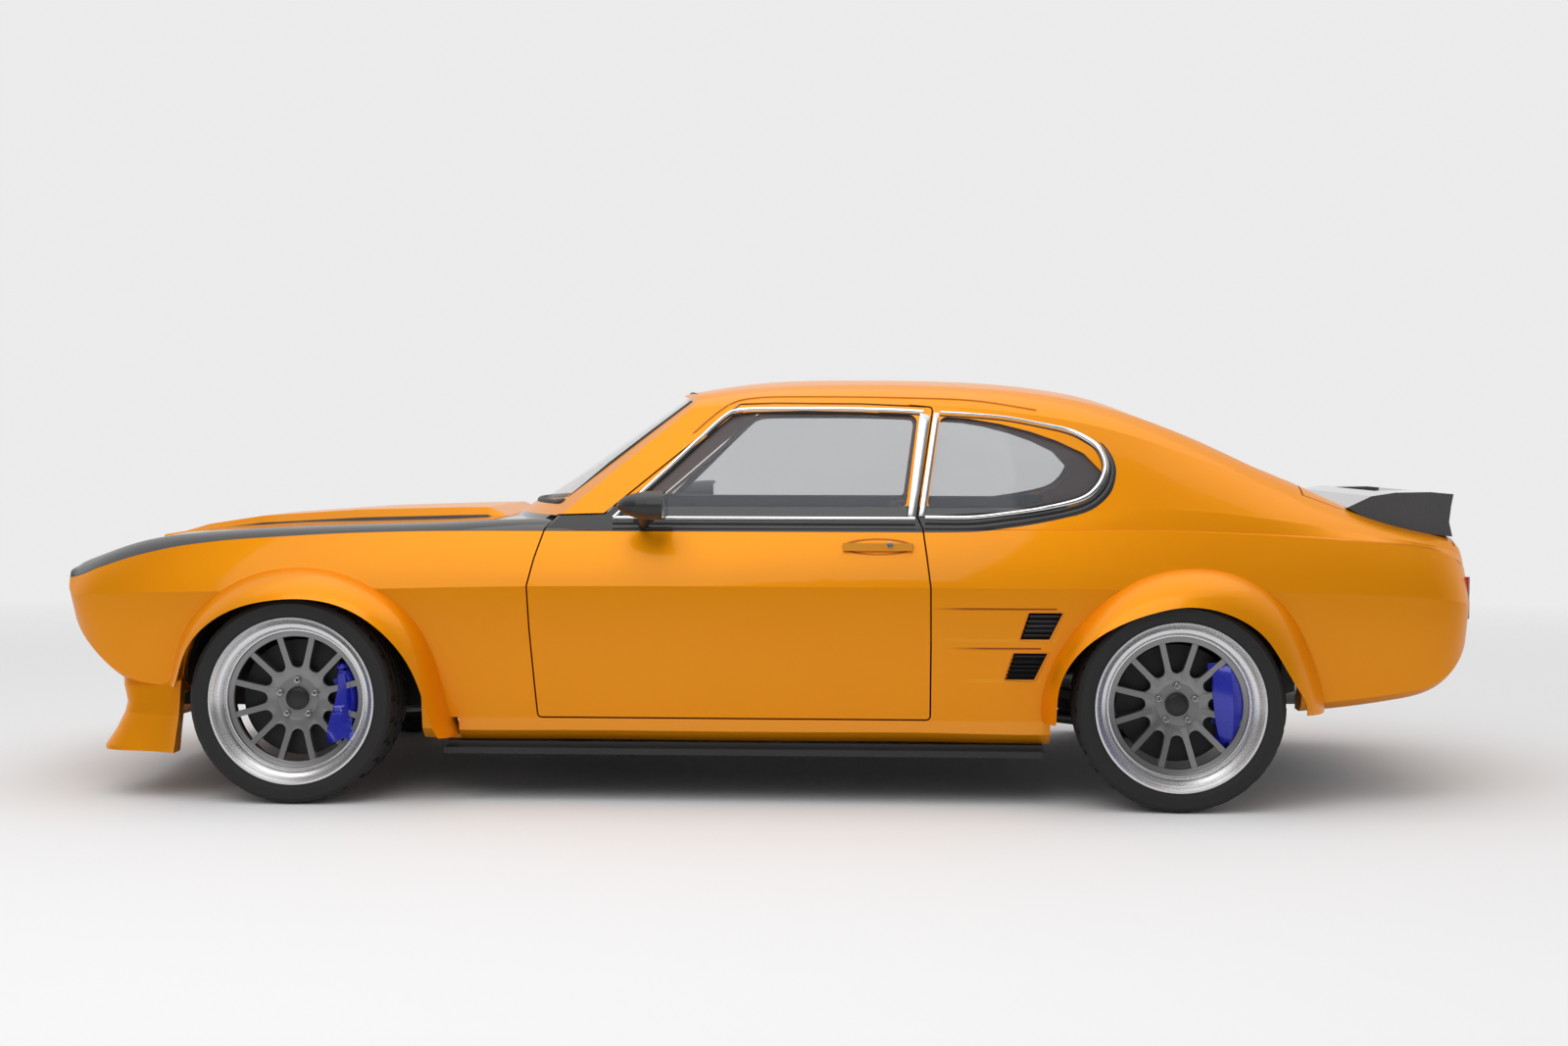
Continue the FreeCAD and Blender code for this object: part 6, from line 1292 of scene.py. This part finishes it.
def tail_frame(side, sign):
    """Bright frame round the tail lamps of one side."""
    low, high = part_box("tail_lamps")
    x = high[0] - 0.0030
    y0, y1 = sign * TAIL_LAMP_INNER, sign * TAIL_LAMP_OUTER
    z0, z1 = low[2] + 0.004, high[2] - 0.004
    outline = [(x, y0, z0), (x, y1, z0), (x, y1, z1), (x, y0, z1)]
    keep(bead(outline, 0.0035, True), "tail_lamp_frame_" + side, chrome, "body", 40)


lamp_lens = glass_finish("lamp_lens", (0.90, 0.92, 0.94, 1.0), 0.30)
mirror_silver = satin_finish("mirror_silver", (0.80, 0.81, 0.82, 1.0), 0.04, 500.0, 0.01, 1.0)
for index, y in enumerate(HEAD_LAMPS):
    head_lamp(index, y)
for side, sign in SIDES:
    mirror_glass(side, sign)
    drip_rail(side, sign)
    tail_frame(side, sign)
for index, place in enumerate(PIPE_PLACES):
    pipe_tip(index, place)


# Studio

PALE_LEVEL = 0.84
WORLD_LIGHT = 0.66
GLOSS_LOW = 0.14
LAMPS = (
    ("key_light", (-1.5, -5.5, 6.0), 6.0, 215.0, (0.0, 0.0, 0.5)),
    ("top_light", (0.3, 0.5, 7.5), 9.0, 200.0, (0.0, 0.0, 0.0)),
)
CAMERA_PLACE = (0.3885, -7.0939, 1.0518)
CAMERA_PAN, CAMERA_DROP, CAMERA_ROLL = 2.81, 2.11, 0.0017
PALE_FLOOR = (0.80, 0.80, 0.803, 1.0)
FADE_START, FADE_LENGTH = 3.4, 6.5


def studio():
    """Pale floor that fades into a pale surround, soft lights and the camera."""
    bpy.ops.object.select_all(action="DESELECT")
    bpy.ops.mesh.primitive_circle_add(vertices=64, radius=16.0, fill_type="NGON", location=(0.0, 0.0, 0.0))
    floor = bpy.context.object
    floor.name = "studio_floor"
    pale = Finish("studio_pale", (0.80, 0.80, 0.81, 1.0), 0.95)
    x, y, z, vector = pale.place()
    grain = pale.noise(vector, 2.0)
    plain = pale.mix(grain, (0.70, 0.70, 0.71, 1.0), (0.72, 0.72, 0.73, 1.0))
    direct = pale.node("ShaderNodeLightPath", {})
    pale.set("Base Color", pale.mix(direct, plain, PALE_FLOOR))
    distance = (x * x + y * y * 1.4) ** 0.5
    pale.set("Alpha", 1.0 - ((distance - FADE_START) / FADE_LENGTH).math_clamp())
    floor.data.materials.append(pale.material)
    world = bpy.data.worlds.new("studio_world")
    bpy.context.scene.world = world
    world.use_nodes = True
    tree = world.node_tree
    background = tree.nodes["Background"]
    background.inputs[0].default_value = (0.995, 0.995, 1.0, 1.0)
    rays = tree.nodes.new("ShaderNodeLightPath")
    seen = Wire(tree, rays.outputs["Is Camera Ray"])
    glossy = Wire(tree, rays.outputs["Is Glossy Ray"])
    clear = Wire(tree, rays.outputs["Is Transmission Ray"])
    sky = tree.nodes.new("ShaderNodeTexCoord")
    split = tree.nodes.new("ShaderNodeSeparateXYZ")
    tree.links.new(sky.outputs["Generated"], split.inputs[0])
    behind = (Wire(tree, split.outputs[1]) * 1.6 + Wire(tree, split.outputs[2]) * 0.5 + 0.25).math_clamp()
    mirrored = GLOSS_LOW + (PALE_LEVEL - GLOSS_LOW) * behind
    shown = seen.math("MAXIMUM", seen, clear)
    strength = WORLD_LIGHT + (PALE_LEVEL - WORLD_LIGHT) * shown + (mirrored - WORLD_LIGHT) * glossy
    feed(tree, background.inputs[1], strength)
    for name, place, size, power, aim in LAMPS:
        lamp = bpy.data.lights.new(name, "AREA")
        lamp.shape = "SQUARE"
        lamp.size = size
        lamp.energy = power
        holder = bpy.data.objects.new(name, lamp)
        bpy.context.scene.collection.objects.link(holder)
        holder.location = place
        holder.rotation_euler = (Vector(aim) - Vector(place)).to_track_quat("-Z", "Y").to_euler()
    camera = bpy.data.cameras.new("photo_camera")
    camera.lens, camera.sensor_width = 50.0, 36.0
    holder = bpy.data.objects.new("photo_camera", camera)
    bpy.context.scene.collection.objects.link(holder)
    pan = Matrix.Rotation(math.radians(CAMERA_PAN), 4, "Z")
    tilt = Matrix.Rotation(math.radians(90 - CAMERA_DROP), 4, "X")
    roll = Matrix.Rotation(CAMERA_ROLL, 4, "Z")
    holder.matrix_world = Matrix.Translation(CAMERA_PLACE) @ (pan @ tilt) @ roll
    bpy.context.scene.camera = holder
    bpy.context.scene.view_settings.view_transform = "Standard"


studio()
